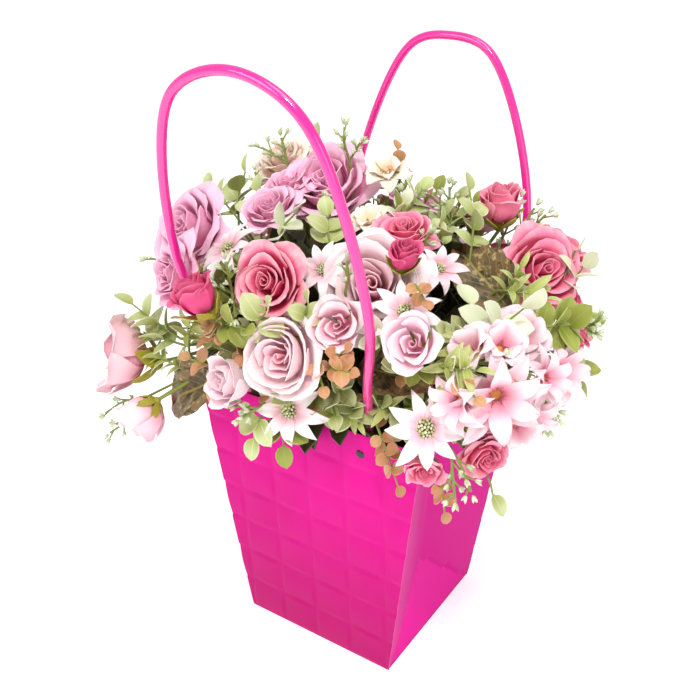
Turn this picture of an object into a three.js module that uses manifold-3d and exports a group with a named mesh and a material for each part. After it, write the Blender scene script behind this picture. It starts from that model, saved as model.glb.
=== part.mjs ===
// Flower bag arrangement: a tapered card carrier bag with two tube handles, a floral
// foam block inside it, and artificial flower heads on branching stems pushed into the foam.
// Millimetres, +Z up, origin at the centre of the bag's base.
// +X runs along the wide front panel, and the front panel faces -Y.

import * as THREE from 'three';
import { mergeVertices } from 'three/addons/utils/BufferGeometryUtils.js';
import Module from 'manifold-3d';

const wasm = await Module();
wasm.setup();

// Driving dimensions of the bag
const baseHalfX = 62;
const baseHalfY = 62.5;
const rimHalfX = 87.5;
const rimHalfY = 74;
const bagHeight = 201;
const card = 0.8;
const gap = 0.3;
const gussetApex = { x: 49, z: 57 };
const gussetRimX = 58;

// Handles and their rivets
const tubeRadius = 3;
const tubeSides = 8;
const tubeSteps = 30;
const rivetHeight = 186;
const rivetX = 44;
const rivetHeadRadius = 3.4;
const rivetHeadHeight = 1.3;
const rivetShankRadius = 1.4;

// Foam block and the stalks pushed into it
const foam = { halfX: 42, halfY: 52, bottom: 1.2, top: 120 };
const hub = { x: 26, y: 24, z: 131, radius: 5, stalkRadius: 3.5, foot: 72 };
const holeClearance = 0.5;
const stemRadius = 1.3;
const stemSides = 4;
const stemSteps = 4;
const elbowHalfX = 46;
const elbowHalfY = 58;
const elbowShare = 0.55;
const elbowRise = 0.78;
const elbowOverRim = 27;
const lastStraight = 4;
const leafSpread = 0.9;
const stemGap = 0.4;

const bag = new THREE.Group();

// ---------------------------------------------------------------- helpers

function addPiece(name, geometry, colour, roughness, metalness = 0) {
  const material = new THREE.MeshStandardMaterial({ color: colour, roughness, metalness });
  const mesh = new THREE.Mesh(geometry, material);
  mesh.name = name;
  bag.add(mesh);
  return mesh;
}

function toSolid(geometry) {
  const bare = geometry.clone();
  bare.deleteAttribute('normal');
  bare.deleteAttribute('uv');
  const merged = mergeVertices(bare.index ? bare.toNonIndexed() : bare, 1e-4);
  const vertProperties = new Float32Array(merged.attributes.position.array);
  const triVerts = new Uint32Array(merged.index.array);
  return new wasm.Manifold(new wasm.Mesh({ numProp: 3, vertProperties, triVerts }));
}

function toGeometry(solid) {
  const mesh = solid.getMesh();
  const geometry = new THREE.BufferGeometry();
  const positions = new Float32Array(mesh.numVert * 3);
  for (let i = 0; i < mesh.numVert; i++) {
    for (let k = 0; k < 3; k++) {
      positions[i * 3 + k] = mesh.vertProperties[i * mesh.numProp + k];
    }
  }
  geometry.setAttribute('position', new THREE.BufferAttribute(positions, 3));
  geometry.setIndex(new THREE.BufferAttribute(new Uint32Array(mesh.triVerts), 1));
  return geometry;
}

function vec([x, y, z]) {
  return new THREE.Vector3(x, y, z);
}

// Moves a geometry so that its +Y axis points along direction and its origin sits at place.
function pointAlong(geometry, place, direction) {
  const up = new THREE.Vector3(0, 1, 0);
  const turn = new THREE.Quaternion().setFromUnitVectors(up, direction.clone().normalize());
  geometry.applyQuaternion(turn);
  geometry.translate(place.x, place.y, place.z);
  return geometry;
}

function roundSection(radius, sides) {
  const section = new THREE.Shape();
  for (let i = 0; i < sides; i++) {
    const angle = (i / sides) * Math.PI * 2;
    const x = radius * Math.cos(angle);
    const y = radius * Math.sin(angle);
    if (i === 0) {
      section.moveTo(x, y);
    } else {
      section.lineTo(x, y);
    }
  }
  section.closePath();
  return section;
}

function tubeAlong(points, radius, sides, steps) {
  const path = new THREE.CatmullRomCurve3(points, false, 'centripetal');
  return new THREE.ExtrudeGeometry(roundSection(radius, sides), { steps, extrudePath: path });
}

// ---------------------------------------------------------------- bag panels

const lean = Math.atan((rimHalfY - baseHalfY) / bagHeight);
const panelLength = bagHeight / Math.cos(lean);

// A tapered upright panel; side is -1 for the front and +1 for the back.
function uprightPanel(side) {
  const outline = new THREE.Shape();
  outline.moveTo(-baseHalfX, 0);
  outline.lineTo(baseHalfX, 0);
  outline.lineTo(rimHalfX, panelLength);
  outline.lineTo(-rimHalfX, panelLength);
  outline.closePath();
  const sheet = new THREE.ExtrudeGeometry(outline, { depth: card, bevelEnabled: false });
  sheet.rotateX(Math.PI / 2 - side * lean);
  const lowest = side > 0 ? 0 : card * Math.sin(lean);
  sheet.translate(0, side > 0 ? baseHalfY : -baseHalfY + card, lowest);
  return sheet;
}

const bagColour = 0xe0218c;
const panelRoughness = 0.45;
addPiece('bag_front_panel', uprightPanel(-1), bagColour, panelRoughness);
addPiece('bag_back_panel', uprightPanel(1), bagColour, panelRoughness);

const baseInset = card + gap + 0.4;
const basePanel = new THREE.BoxGeometry(2 * baseHalfX - 0.6, 2 * (baseHalfY - baseInset), card);
basePanel.translate(0, 0, card / 2);
addPiece('bag_base_panel', basePanel, bagColour, panelRoughness);

// A side wall folded inwards along its middle, with a triangular foot fold; side is -1 or +1.
function sideGusset(side) {
  const inset = card + 2 * gap;
  const foot = card + 2 * gap;
  const footY = baseHalfY - inset;
  const rimY = rimHalfY - inset;
  const sheet = [
    [baseHalfX - 0.2, -footY, foot],
    [baseHalfX - 0.2, footY, foot],
    [gussetApex.x, 0, gussetApex.z],
    [rimHalfX, -rimY, bagHeight],
    [rimHalfX, rimY, bagHeight],
    [gussetRimX, 0, bagHeight],
  ];
  const faces = [[0, 1, 2], [0, 2, 3], [2, 5, 3], [1, 4, 2], [2, 4, 5]];
  const edge = [0, 1, 4, 5, 3];
  const count = sheet.length;
  const positions = [];
  for (const depth of [0, card]) {
    for (const [x, y, z] of sheet) {
      positions.push(side * (x - depth), y, z);
    }
  }
  const triangles = [];
  function addTriangle(a, b, c) {
    triangles.push(...(side > 0 ? [a, b, c] : [a, c, b]));
  }
  for (const [a, b, c] of faces) {
    addTriangle(a, b, c);
    addTriangle(a + count, c + count, b + count);
  }
  edge.forEach((from, i) => {
    const to = edge[(i + 1) % edge.length];
    addTriangle(to, from, from + count);
    addTriangle(to, from + count, to + count);
  });
  const geometry = new THREE.BufferGeometry();
  geometry.setAttribute('position', new THREE.Float32BufferAttribute(positions, 3));
  geometry.setIndex(triangles);
  return geometry;
}

addPiece('side_gusset_right', sideGusset(1), bagColour, panelRoughness);
addPiece('side_gusset_left', sideGusset(-1), bagColour, panelRoughness);

// ---------------------------------------------------------------- handles and rivets

// Half of each arch as [x, z], from the leg inside the panel to the top of the arch.
const arches = {
  front: {
    side: -1,
    half: [[rivetX, 177], [rivetX, 190], [47.5, 203], [55, 240], [66.2, 302], [41, 405]],
    swing: 5,
    top: 423.5,
    start: 69.4,
    slope: 0.392,
    bow: 31.9,
  },
  back: {
    side: 1,
    half: [[rivetX, 177], [rivetX, 190], [50.5, 203], [64.5, 240], [70.8, 305], [31.2, 403.7]],
    swing: 0,
    top: 412.8,
    start: 69.4,
    slope: 0.366,
    bow: 47.2,
  },
};
const rimClear = 203;
const archReach = 225;
const swingHeight = 90;

// The arch rises inside the panel, clears the rim, then leans out and bows back upright.
function archPoints(arch) {
  const halfPoints = arch.half.map(([x, z]) => {
    const rise = Math.max(0, z - rimClear);
    const insideDrop = Math.min(0, z - rimClear) * Math.tan(lean);
    const out = arch.start + insideDrop + arch.slope * rise - arch.bow * (rise / archReach) ** 2;
    return new THREE.Vector3(x, arch.side * out, z);
  });
  const rise = arch.top - rimClear;
  const topOut = arch.start + arch.slope * rise - arch.bow * (rise / archReach) ** 2;
  const crown = new THREE.Vector3(-arch.swing / 2, arch.side * topOut, arch.top);
  // The other leg swings out a little further once it is above the rim.
  const otherLeg = halfPoints.map((p) => {
    const swung = arch.swing * Math.min(1, Math.max(0, p.z - rimClear) / swingHeight);
    return new THREE.Vector3(-p.x - swung, p.y, p.z);
  });
  return [...halfPoints, crown, ...otherLeg.reverse()];
}

function addHandle(name, arch) {
  addPiece(name, tubeAlong(archPoints(arch), tubeRadius, tubeSides, tubeSteps), 0xff3fae, 0.2);
}

addHandle('handle_front', arches.front);
addHandle('handle_back', arches.back);

// Half-width in Y of the panels' outer faces at a height.
function panelOut(z) {
  return baseHalfY + (rimHalfY - baseHalfY) * (z / bagHeight);
}

// A domed rivet head on the outer face of a panel.
function addRivet(name, x, side) {
  const profile = [
    new THREE.Vector2(0, 0),
    new THREE.Vector2(rivetHeadRadius, 0),
    new THREE.Vector2(rivetHeadRadius, 0.35),
    new THREE.Vector2(rivetHeadRadius * 0.7, rivetHeadHeight * 0.8),
    new THREE.Vector2(rivetShankRadius * 0.6, rivetHeadHeight),
    new THREE.Vector2(0, rivetHeadHeight),
  ];
  const head = new THREE.LatheGeometry(profile, 10);
  const outward = new THREE.Vector3(0, side * Math.cos(lean), -Math.sin(lean));
  const seat = new THREE.Vector3(x, side * panelOut(rivetHeight), rivetHeight);
  seat.addScaledVector(outward, gap);
  addPiece(name, pointAlong(head, seat, outward), 0x8a8a8e, 0.3, 1);
}

addRivet('rivet_front_left', -rivetX, -1);
addRivet('rivet_front_right', rivetX, -1);
addRivet('rivet_back_left', -rivetX, 1);
addRivet('rivet_back_right', rivetX, 1);

// ---------------------------------------------------------------- floral foam

const corners = [];
for (const sx of [-1, 1]) {
  for (const sy of [-1, 1]) {
    corners.push({ sx, sy, x: sx * hub.x, y: sy * hub.y });
  }
}

const foamBlock = new THREE.BoxGeometry(2 * foam.halfX, 2 * foam.halfY, foam.top - foam.bottom);
foamBlock.translate(0, 0, (foam.top + foam.bottom) / 2);
let foamSolid = toSolid(foamBlock);
for (const corner of corners) {
  const holeBottom = hub.foot - 1;
  const hole = new THREE.CylinderGeometry(
    hub.stalkRadius + holeClearance, hub.stalkRadius + holeClearance, foam.top + 2 - holeBottom, 10);
  hole.rotateX(Math.PI / 2);
  hole.translate(corner.x, corner.y, (foam.top + 2 + holeBottom) / 2);
  foamSolid = foamSolid.subtract(toSolid(hole));
}
addPiece('floral_foam', toGeometry(foamSolid), 0x2f4a2c, 0.95);

// ---------------------------------------------------------------- flower heads

// Outlines from the stem socket to the mouth, as [radius, height] for a head of radius 1.
const headOutlines = {
  rose: [[0, -1], [0.14, -0.98], [0.16, -0.6], [0.86, -0.24], [1, 0.2], [0.6, 0.52], [0, 0.46]],
  bud: [[0, -1.3], [0.18, -1.27], [0.22, -0.85], [0.92, -0.3], [0.98, 0.35], [0.5, 1.2], [0, 1.22]],
  daisy: [[0, -0.8], [0.12, -0.78], [0.14, -0.35], [1, 0.1], [0.98, 0.2], [0.4, 0.12], [0, 0.36]],
  freesia: [[0, -1.4], [0.18, -1.37], [0.22, -0.8], [1, 0.3], [0.7, 0.46], [0, 0.3]],
};
const headSides = { rose: 9, bud: 8, daisy: 9, freesia: 8 };

// name, kind, radius, place of the head's widest part, and the way that its mouth faces
const heads = [
  ['rose_mauve_left', 'rose', 22, [-109, -50, 296], [-0.2, -0.8, 0.5], 0xd79cc0],
  ['rose_mauve_low_left', 'rose', 17, [-88, -88, 283], [-0.35, -0.8, 0.3], 0xc98cb6],
  ['rose_mauve_top', 'rose', 24, [-40, 9, 325], [0.1, -0.6, 0.8], 0xd79cc0],
  ['rose_mauve_middle', 'rose', 14, [-56, -28, 317], [0, -0.5, 0.85], 0xc98cb6],
  ['rose_peach_top', 'rose', 18, [-86, 25, 330], [-0.2, -0.5, 0.85], 0xf2d3c4],
  ['rose_pink_front', 'rose', 20.5, [-9, -90, 297], [0.05, -0.85, 0.5], 0xe0587f],
  ['bud_pink_left', 'bud', 12, [-46, -113, 285], [-0.45, -0.4, 0.8], 0xd93a6d],
  ['rose_blush_front', 'rose', 21, [10, -108, 258], [0.1, -0.9, 0.35], 0xf6c9d2],
  ['bud_blush_front', 'bud', 12, [-24, -112, 235], [-0.3, -0.9, 0.25], 0xf3bfd0],
  ['daisy_front_low', 'daisy', 17, [9, -99, 220], [0.2, -0.75, 0.2], 0xf7dbe3],
  ['daisy_front_high', 'daisy', 11, [14, -68, 301], [0.2, -0.65, 0.6], 0xf7dbe3],
  ['daisy_left', 'daisy', 16, [-67, -60, 294], [-0.35, -0.55, 0.8], 0xf7dbe3],
  ['rose_pink_small', 'rose', 13.5, [39, -90, 282], [0.25, -0.85, 0.35], 0xee8fae],
  ['rose_blush_right', 'rose', 19, [40, -55, 297], [0.15, -0.6, 0.8], 0xf6c9d2],
  ['daisy_right', 'daisy', 13, [72, -70, 290], [0.35, -0.65, 0.65], 0xf7dbe3],
  ['rose_mauve_cup', 'rose', 13, [89, -92, 285], [0, -0.8, 0.5], 0xe3a3c0],
  ['bud_pink_middle', 'bud', 9, [62, -57, 316], [0.2, -0.2, 1], 0xe0587f],
  ['rose_pink_middle', 'rose', 14, [39, -20, 316], [0.15, -0.3, 0.95], 0xe0587f],
  ['daisy_corner', 'daisy', 20, [100, -94, 236], [0.45, -0.85, 0.4], 0xf7dbe3],
  ['bud_pink_corner', 'bud', 11, [100, -92, 206], [0.4, -0.75, -0.35], 0xe46f96],
  ['rose_pink_corner', 'rose', 14, [128, -75, 218], [0.75, -0.55, -0.1], 0xe0587f],
  ['bud_pink_tall', 'bud', 12, [72, 50, 318], [0.05, -0.05, 1], 0xe0487c],
  ['rose_pink_far_right', 'rose', 20, [108, 43, 286], [0.7, -0.5, 0.55], 0xe887a4],
  ['rose_salmon_far_right', 'rose', 14, [96, 82, 293], [0.4, 0.35, 0.85], 0xe98a97],
  ['rose_pink_outer', 'rose', 13, [120, 70, 256], [0.85, 0.3, 0.35], 0xe0587f],
  ['rose_blush_left', 'rose', 21, [-134, -98, 213], [-0.85, -0.45, 0.15], 0xf6d4dc],
  ['rose_blush_hanging', 'rose', 14, [-110, -107, 181], [-0.45, -0.5, -0.7], 0xf6d4dc],
  ['freesia_cream_top', 'freesia', 13, [2, 20, 334], [0.2, -0.5, 0.85], 0xf6ead8],
  ['freesia_cream_middle', 'freesia', 12, [10, -10, 312], [0, -0.4, 0.9], 0xf6ead8],
  ['blossom_right_high', 'daisy', 14, [119, -25, 264], [0.4, -0.4, 0.8], 0xf7c8d6],
  ['blossom_right_front', 'daisy', 18, [130, -72, 256], [0.5, -0.8, 0.2], 0xf7c8d6],
  ['blossom_right_low', 'daisy', 15, [136, -44, 234], [0.7, -0.6, -0.1], 0xf7c8d6],
  ['blossom_right_outer', 'daisy', 15, [138, -10, 246], [0.8, -0.4, 0.3], 0xf7c8d6],
  ['rose_pink_right', 'rose', 13, [141, 22, 262], [0.85, 0.1, 0.5], 0xe887a4],
  ['rose_mauve_back', 'rose', 21, [-22, 88, 286], [-0.1, 0.75, 0.65], 0xd79cc0],
  ['rose_blush_back', 'rose', 19, [30, 104, 256], [0.2, 0.9, 0.35], 0xf6c9d2],
  ['daisy_back', 'daisy', 15, [-28, 112, 232], [-0.1, 0.9, 0.2], 0xf7dbe3],
  ['rose_pink_back_left', 'rose', 19, [-104, 60, 270], [-0.7, 0.5, 0.5], 0xe0587f],
  ['rose_blush_back_left', 'rose', 18, [-128, 8, 240], [-0.95, 0, 0.3], 0xf6d4dc],
];

const headGap = 0.5;

function headGeometry(kind, radius, grow = 0) {
  const scale = radius + grow;
  const profile = headOutlines[kind].map(([r, h]) => new THREE.Vector2(r * scale, h * scale));
  return new THREE.LatheGeometry(profile, headSides[kind]);
}

const keepOuts = [];
const stemEnds = [];
for (const [name, kind, radius, at, face, colour] of heads) {
  const place = vec(at);
  const direction = vec(face).normalize();
  addPiece(name, pointAlong(headGeometry(kind, radius), place, direction), colour, 0.8);
  keepOuts.push(pointAlong(headGeometry(kind, radius, stemGap), place, direction));
  const socket = -headOutlines[kind][0][1] * radius + headGap;
  const end = place.clone().addScaledVector(direction, -socket);
  stemEnds.push({ end, direction });
}

// ---------------------------------------------------------------- large autumn leaves

const leafThickness = 1;

// A pointed leaf outline along +Y, from its foot to its tip.
function leafOutline(length, width) {
  const outline = new THREE.Shape();
  outline.moveTo(0, 0);
  outline.quadraticCurveTo(width * 0.75, length * 0.2, width * 0.5, length * 0.55);
  outline.lineTo(0, length);
  outline.lineTo(-width * 0.5, length * 0.55);
  outline.quadraticCurveTo(-width * 0.75, length * 0.2, 0, 0);
  return outline;
}

// name, foot of the blade, tip, the way its upper side faces, width
const autumnLeaves = [
  ['leaf_autumn_right', [104, 2, 272], [60, 16, 298], [0.35, -0.75, 0.55], 32],
  ['leaf_autumn_middle', [38, -58, 238], [84, -62, 243], [0.2, -0.7, 0.7], 24],
  ['leaf_autumn_low_left', [-58, -86, 214], [-106, -84, 180], [-0.2, -0.85, 0.5], 36],
  ['leaf_autumn_back', [70, 92, 225], [78, 122, 196], [0.1, 0.7, 0.7], 30],
];

for (const [name, foot, tip, upper, width] of autumnLeaves) {
  const along = vec(tip).sub(vec(foot));
  const length = along.length();
  along.normalize();
  const across = new THREE.Vector3().crossVectors(along, vec(upper)).normalize();
  const normal = new THREE.Vector3().crossVectors(across, along).normalize();
  const blade = new THREE.ExtrudeGeometry(
    leafOutline(length, width), { depth: leafThickness, bevelEnabled: false, curveSegments: 4 });
  const frame = new THREE.Matrix4().makeBasis(across, along, normal);
  blade.applyMatrix4(frame);
  blade.translate(...foot);
  addPiece(name, blade, 0x6c6034, 0.7);
}

// ---------------------------------------------------------------- branching stems with leaf sprigs

// Tips of the leaf sprigs, in groups by the corner of the bag that they grow from.
const sprigTips = [
  [-152, -30, 264], [-152, -88, 238], [-108, -122, 214], [-60, -126, 238], [-118, -62, 250],
  [-62, -118, 196], [-40, -70, 318], [-84, -20, 326],
  [122, -98, 198], [164, -18, 284], [92, -118, 232], [58, -106, 218], [112, -54, 296],
  [150, -52, 214], [66, -20, 322], [22, -96, 304],
  [-74, 12, 350], [-30, 22, 356], [-146, 34, 262], [-104, 96, 236], [-50, 118, 262],
  [-64, 52, 318], [-84, 62, 214],
  [40, 36, 346], [86, 66, 312], [124, 92, 240], [150, 48, 246], [10, 120, 262],
  [52, 116, 216], [24, 62, 322],
];
const leafSpacing = 16;
const sprigLength = 46;
const sprigLeaf = { length: 15, width: 8, thickness: 1.4 };

// Where a stem bends over the rim, kept inside the folded side walls and the panels.
function elbowTowards(end) {
  const overRim = bagHeight + elbowOverRim;
  const x = THREE.MathUtils.clamp(end.x * elbowShare, -elbowHalfX, elbowHalfX);
  const y = THREE.MathUtils.clamp(end.y * elbowShare, -elbowHalfY, elbowHalfY);
  return new THREE.Vector3(x, y, Math.max(overRim, end.z * elbowRise));
}

function stemSolid(points) {
  return toSolid(tubeAlong(points, stemRadius, stemSides, stemSteps));
}

function leafSolid(place, direction, side) {
  const blade = new THREE.OctahedronGeometry(1, 0);
  blade.scale(sprigLeaf.width / 2, sprigLeaf.length / 2, sprigLeaf.thickness / 2);
  blade.translate(0, sprigLeaf.length / 2 - 1, 0);
  const along = direction.clone().addScaledVector(side, leafSpread).normalize();
  const across = new THREE.Vector3().crossVectors(along, new THREE.Vector3(0, 0, 1));
  across.normalize();
  const normal = new THREE.Vector3().crossVectors(across, along).normalize();
  blade.applyMatrix4(new THREE.Matrix4().makeBasis(across, along, normal));
  blade.translate(place.x, place.y, place.z);
  return toSolid(blade);
}

function sprigSolids(start, tip) {
  const curvePoints = [start, elbowTowards(tip), tip];
  const curve = new THREE.CatmullRomCurve3(curvePoints, false, 'centripetal');
  const length = curve.getLength();
  const solids = [stemSolid(curvePoints)];
  let turn = 1;
  for (let back = 1; back < sprigLength; back += leafSpacing) {
    const t = 1 - back / length;
    const place = curve.getPointAt(t);
    const direction = curve.getTangentAt(t);
    const side = new THREE.Vector3().crossVectors(direction, new THREE.Vector3(0, 0, 1));
    side.normalize().multiplyScalar(turn);
    solids.push(leafSolid(place, direction, side));
    turn = -turn;
  }
  return solids;
}

// Everything that a bush's thin stems and leaves keep clear of.
function clearOf(solid, cutters) {
  let rest = solid;
  for (const cutter of cutters) {
    rest = rest.subtract(cutter);
  }
  const bodies = rest.decompose();
  bodies.sort((a, b) => b.volume() - a.volume());
  return bodies[0];
}

const cutters = keepOuts.map(toSolid);
for (const arch of Object.values(arches)) {
  cutters.push(toSolid(tubeAlong(archPoints(arch), tubeRadius + stemGap, tubeSides, tubeSteps)));
}
bag.children.filter((piece) => piece.name.startsWith('leaf_autumn')).forEach((piece) => {
  for (const step of [-stemGap, stemGap]) {
    for (const shift of [[step, 0, 0], [0, step, 0], [0, 0, step]]) {
      const around = piece.geometry.clone();
      around.translate(...shift);
      cutters.push(toSolid(around));
    }
  }
});

const cornerNames = { '-1,-1': 'front_left', '1,-1': 'front_right', '-1,1': 'back_left', '1,1': 'back_right' };
const reach = 400;
for (const corner of corners) {
  const knot = new THREE.Vector3(corner.x, corner.y, hub.z);
  const ball = new THREE.SphereGeometry(hub.radius, 10, 6);
  ball.translate(knot.x, knot.y, knot.z);
  const stalkHeight = hub.z - hub.foot;
  const stalk = new THREE.CylinderGeometry(hub.stalkRadius, hub.stalkRadius, stalkHeight, 8);
  stalk.rotateX(Math.PI / 2);
  stalk.translate(corner.x, corner.y, hub.foot + stalkHeight / 2);
  let bush = toSolid(ball).add(toSolid(stalk));
  for (const { end, direction } of stemEnds) {
    if (Math.sign(end.x) !== corner.sx || Math.sign(end.y) !== corner.sy) {
      continue;
    }
    const last = end.clone().addScaledVector(direction, -lastStraight);
    bush = bush.add(stemSolid([knot, elbowTowards(last), last, end]));
  }
  for (const tip of sprigTips.map(vec)) {
    if (Math.sign(tip.x) !== corner.sx || Math.sign(tip.y) !== corner.sy) {
      continue;
    }
    for (const solid of sprigSolids(knot, tip)) {
      bush = bush.add(solid);
    }
  }
  const quarter = new THREE.BoxGeometry(reach, reach, reach);
  quarter.translate(
    corner.sx * (reach / 2 + gap), corner.sy * (reach / 2 + gap), hub.foot - 1 + reach / 2);
  bush = bush.intersect(toSolid(quarter));
  const name = `stems_${cornerNames[`${corner.sx},${corner.sy}`]}`;
  addPiece(name, toGeometry(clearOf(bush, cutters)), 0x6f8f52, 0.6);
}

export default bag;
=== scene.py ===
import bpy
import math
import random
import numpy as np
from mathutils import Matrix, Vector


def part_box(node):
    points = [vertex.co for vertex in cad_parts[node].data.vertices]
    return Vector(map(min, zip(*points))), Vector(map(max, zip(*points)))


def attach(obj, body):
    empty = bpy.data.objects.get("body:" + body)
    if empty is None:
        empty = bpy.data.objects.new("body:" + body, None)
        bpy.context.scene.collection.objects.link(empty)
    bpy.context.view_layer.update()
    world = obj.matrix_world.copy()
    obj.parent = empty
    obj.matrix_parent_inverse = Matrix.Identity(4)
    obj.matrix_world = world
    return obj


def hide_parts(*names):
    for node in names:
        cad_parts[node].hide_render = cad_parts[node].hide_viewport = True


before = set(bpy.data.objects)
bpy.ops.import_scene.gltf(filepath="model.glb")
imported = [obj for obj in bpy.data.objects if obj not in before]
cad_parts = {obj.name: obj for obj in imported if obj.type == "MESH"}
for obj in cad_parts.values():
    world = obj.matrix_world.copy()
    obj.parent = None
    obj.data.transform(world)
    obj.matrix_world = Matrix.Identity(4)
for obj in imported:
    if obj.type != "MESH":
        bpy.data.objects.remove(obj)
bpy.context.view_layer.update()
scene = bpy.context.scene
mm = 0.001


# small helpers
def deselectAll():
    if bpy.context.object and bpy.context.object.mode != "OBJECT":
        bpy.ops.object.mode_set(mode="OBJECT")
    bpy.ops.object.select_all(action="DESELECT")


def makeActive(piece):
    deselectAll()
    piece.select_set(True)
    bpy.context.view_layer.objects.active = piece


def readPoints(piece):
    points = np.zeros(len(piece.data.vertices) * 3)
    piece.data.vertices.foreach_get("co", points)
    return points.reshape(-1, 3)


def writePoints(piece, points):
    piece.data.vertices.foreach_set("co", np.asarray(points, dtype=float).ravel())
    piece.data.update()


def applyModifier(piece, kind, **settings):
    makeActive(piece)
    bpy.ops.object.modifier_add(type=kind)
    modifier = piece.modifiers[-1]
    for key, value in settings.items():
        setattr(modifier, key, value)
    bpy.ops.object.modifier_apply(modifier=modifier.name)


def settle(piece):
    makeActive(piece)
    bpy.ops.object.transform_apply(location=True, rotation=True, scale=True)


def smooth(piece, angle):
    makeActive(piece)
    bpy.ops.object.shade_smooth_by_angle(angle=math.radians(angle))


def thicken(piece, thickness):
    applyModifier(piece, "SOLIDIFY", thickness=thickness, offset=0)
    smooth(piece, 60)


def added(name, primitive, **settings):
    deselectAll()
    primitive(**settings)
    piece = bpy.context.object
    piece.name = name
    return piece


def addGrid(name, across, along):
    return added(name, bpy.ops.mesh.primitive_grid_add, x_subdivisions=across, y_subdivisions=along, size=2)


def addBlock(name, node):
    # a plain block as large as the CAD box of the node
    low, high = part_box(node)
    piece = added(name, bpy.ops.mesh.primitive_cube_add, size=1, location=(low + high) / 2, scale=high - low)
    settle(piece)
    return piece


def shaped(piece, formula):
    # formula takes u and v from -1 to 1 and gives x, y, z
    points = readPoints(piece)
    writePoints(piece, np.stack(formula(points[:, 0], points[:, 1]), axis=1))
    return piece


def mark(piece, name, value):
    attribute = piece.data.attributes.get(name)
    if attribute is None:
        attribute = piece.data.attributes.new(name, "FLOAT", "POINT")
    attribute.data.foreach_set("value", np.full(len(piece.data.vertices), float(value)))


def copied(piece, matrix, name="copy"):
    twin = piece.copy()
    twin.data = piece.data.copy()
    twin.name = name
    twin.data.transform(matrix)
    scene.collection.objects.link(twin)
    return twin


def joined(pieces, name):
    deselectAll()
    for piece in pieces:
        piece.select_set(True)
    bpy.context.view_layer.objects.active = pieces[0]
    if len(pieces) > 1:
        bpy.ops.object.join()
    whole = bpy.context.object
    whole.name = name
    return whole


def removed(*pieces):
    for piece in pieces:
        mesh = piece.data
        bpy.data.objects.remove(piece)
        if mesh.users == 0:
            bpy.data.meshes.remove(mesh)


def setMaterials(piece, *materials):
    piece.data.materials.clear()
    for material in materials:
        piece.data.materials.append(material)


def fillSlot(piece, index):
    piece.data.polygons.foreach_set("material_index", [index] * len(piece.data.polygons))


def place(piece, slot, *nodes):
    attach(piece, "root")
    if nodes:
        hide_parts(*nodes)


def titled(node):
    return node.replace("_", " ").title().replace(" ", "")


def facing(direction, spin=0.0):
    # turns +Z to the direction, after a spin about it
    turn = Vector((0, 0, 1)).rotation_difference(Vector(direction).normalized())
    return turn.to_matrix().to_4x4() @ Matrix.Rotation(spin, 4, "Z")


def smoothstep(low, high, value):
    t = np.clip((value - low) / (high - low), 0, 1)
    return t * t * (3 - 2 * t)


# shader expressions
class Wire:
    def __init__(self, shader, socket):
        self.shader = shader
        self.socket = socket

    def math(self, operation, *others):
        values = dict(enumerate((self, *others)))
        return self.shader.node("ShaderNodeMath", {"operation": operation}, values)

    def __add__(self, other):
        return self.math("ADD", other)

    __radd__ = __add__

    def __mul__(self, other):
        return self.math("MULTIPLY", other)

    __rmul__ = __mul__

    def __sub__(self, other):
        return self.math("SUBTRACT", other)

    def __rsub__(self, other):
        return self.shader.node("ShaderNodeMath", {"operation": "SUBTRACT"}, {0: other, 1: self})

    def __pow__(self, other):
        return self.math("POWER", other)


class Shader:
    def __init__(self, name):
        self.material = bpy.data.materials.new(name)
        self.material.use_nodes = True
        self.tree = self.material.node_tree
        self.surface = self.tree.nodes["Principled BSDF"]

    def fill(self, socket, value):
        if isinstance(value, Wire):
            self.tree.links.new(value.socket, socket)
        elif socket.type == "RGBA":
            socket.default_value = (*value, 1)
        else:
            socket.default_value = value

    def node(self, kind, settings=None, inputs=None, output=0):
        made = self.tree.nodes.new(kind)
        for key, value in (settings or {}).items():
            setattr(made, key, value)
        for key, value in (inputs or {}).items():
            self.fill(made.inputs[key], value)
        return Wire(self, made.outputs[output])

    def step(self, value, low, high):
        return self.node("ShaderNodeMapRange", {"interpolation_type": "SMOOTHSTEP"},
                         {"Value": value, "From Min": low, "From Max": high})

    def mix(self, share, first, second):
        return self.node("ShaderNodeMix", {"data_type": "RGBA"}, {0: share, 6: first, 7: second}, 2)

    def object(self):
        return self.node("ShaderNodeTexCoord", output=3)

    def noise(self, scale, detail, vector=None, roughness=0.5):
        where = vector or self.object()
        return self.node("ShaderNodeTexNoise", None,
                         {"Vector": where, "Scale": scale, "Detail": detail, "Roughness": roughness})

    def bands(self, vector, scale, distortion):
        return self.node("ShaderNodeTexWave", {"wave_type": "BANDS", "bands_direction": "Y"},
                         {"Vector": vector, "Scale": scale, "Distortion": distortion}, 1)

    def uv(self):
        split = self.node("ShaderNodeSeparateXYZ", None, {0: self.node("ShaderNodeUVMap")})
        return split, Wire(self, split.socket.node.outputs[1])

    def attribute(self, name):
        return self.node("ShaderNodeAttribute", {"attribute_name": name}, output=2)

    def bump(self, height, distance, strength):
        return self.node("ShaderNodeBump", None,
                         {"Height": height, "Distance": distance, "Strength": strength})

    def finish(self, colour, normal=None, **plain):
        for key, value in (("Base Color", colour), ("Normal", normal), *plain.items()):
            if value is not None:
                self.fill(self.surface.inputs[key.replace("_", " ")], value)
        return self.material


def rgb(code):
    # a hex colour as linear values
    parts = [int(code[i:i + 2], 16) / 255 for i in (0, 2, 4)]
    return tuple(p / 12.92 if p <= 0.04045 else ((p + 0.055) / 1.055) ** 2.4 for p in parts)


def plainFinish(name, grain, dark, pale, pits=None, **plain):
    # grain is the size and detail of a speckle between the two colours, and pits those of a bump
    shader = Shader(name)
    colour = shader.mix(shader.noise(*grain), rgb(dark), rgb(pale))
    normal = shader.bump(shader.noise(*pits[:2]), *pits[2:]) if pits else None
    return shader.finish(colour, normal, **plain)


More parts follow.
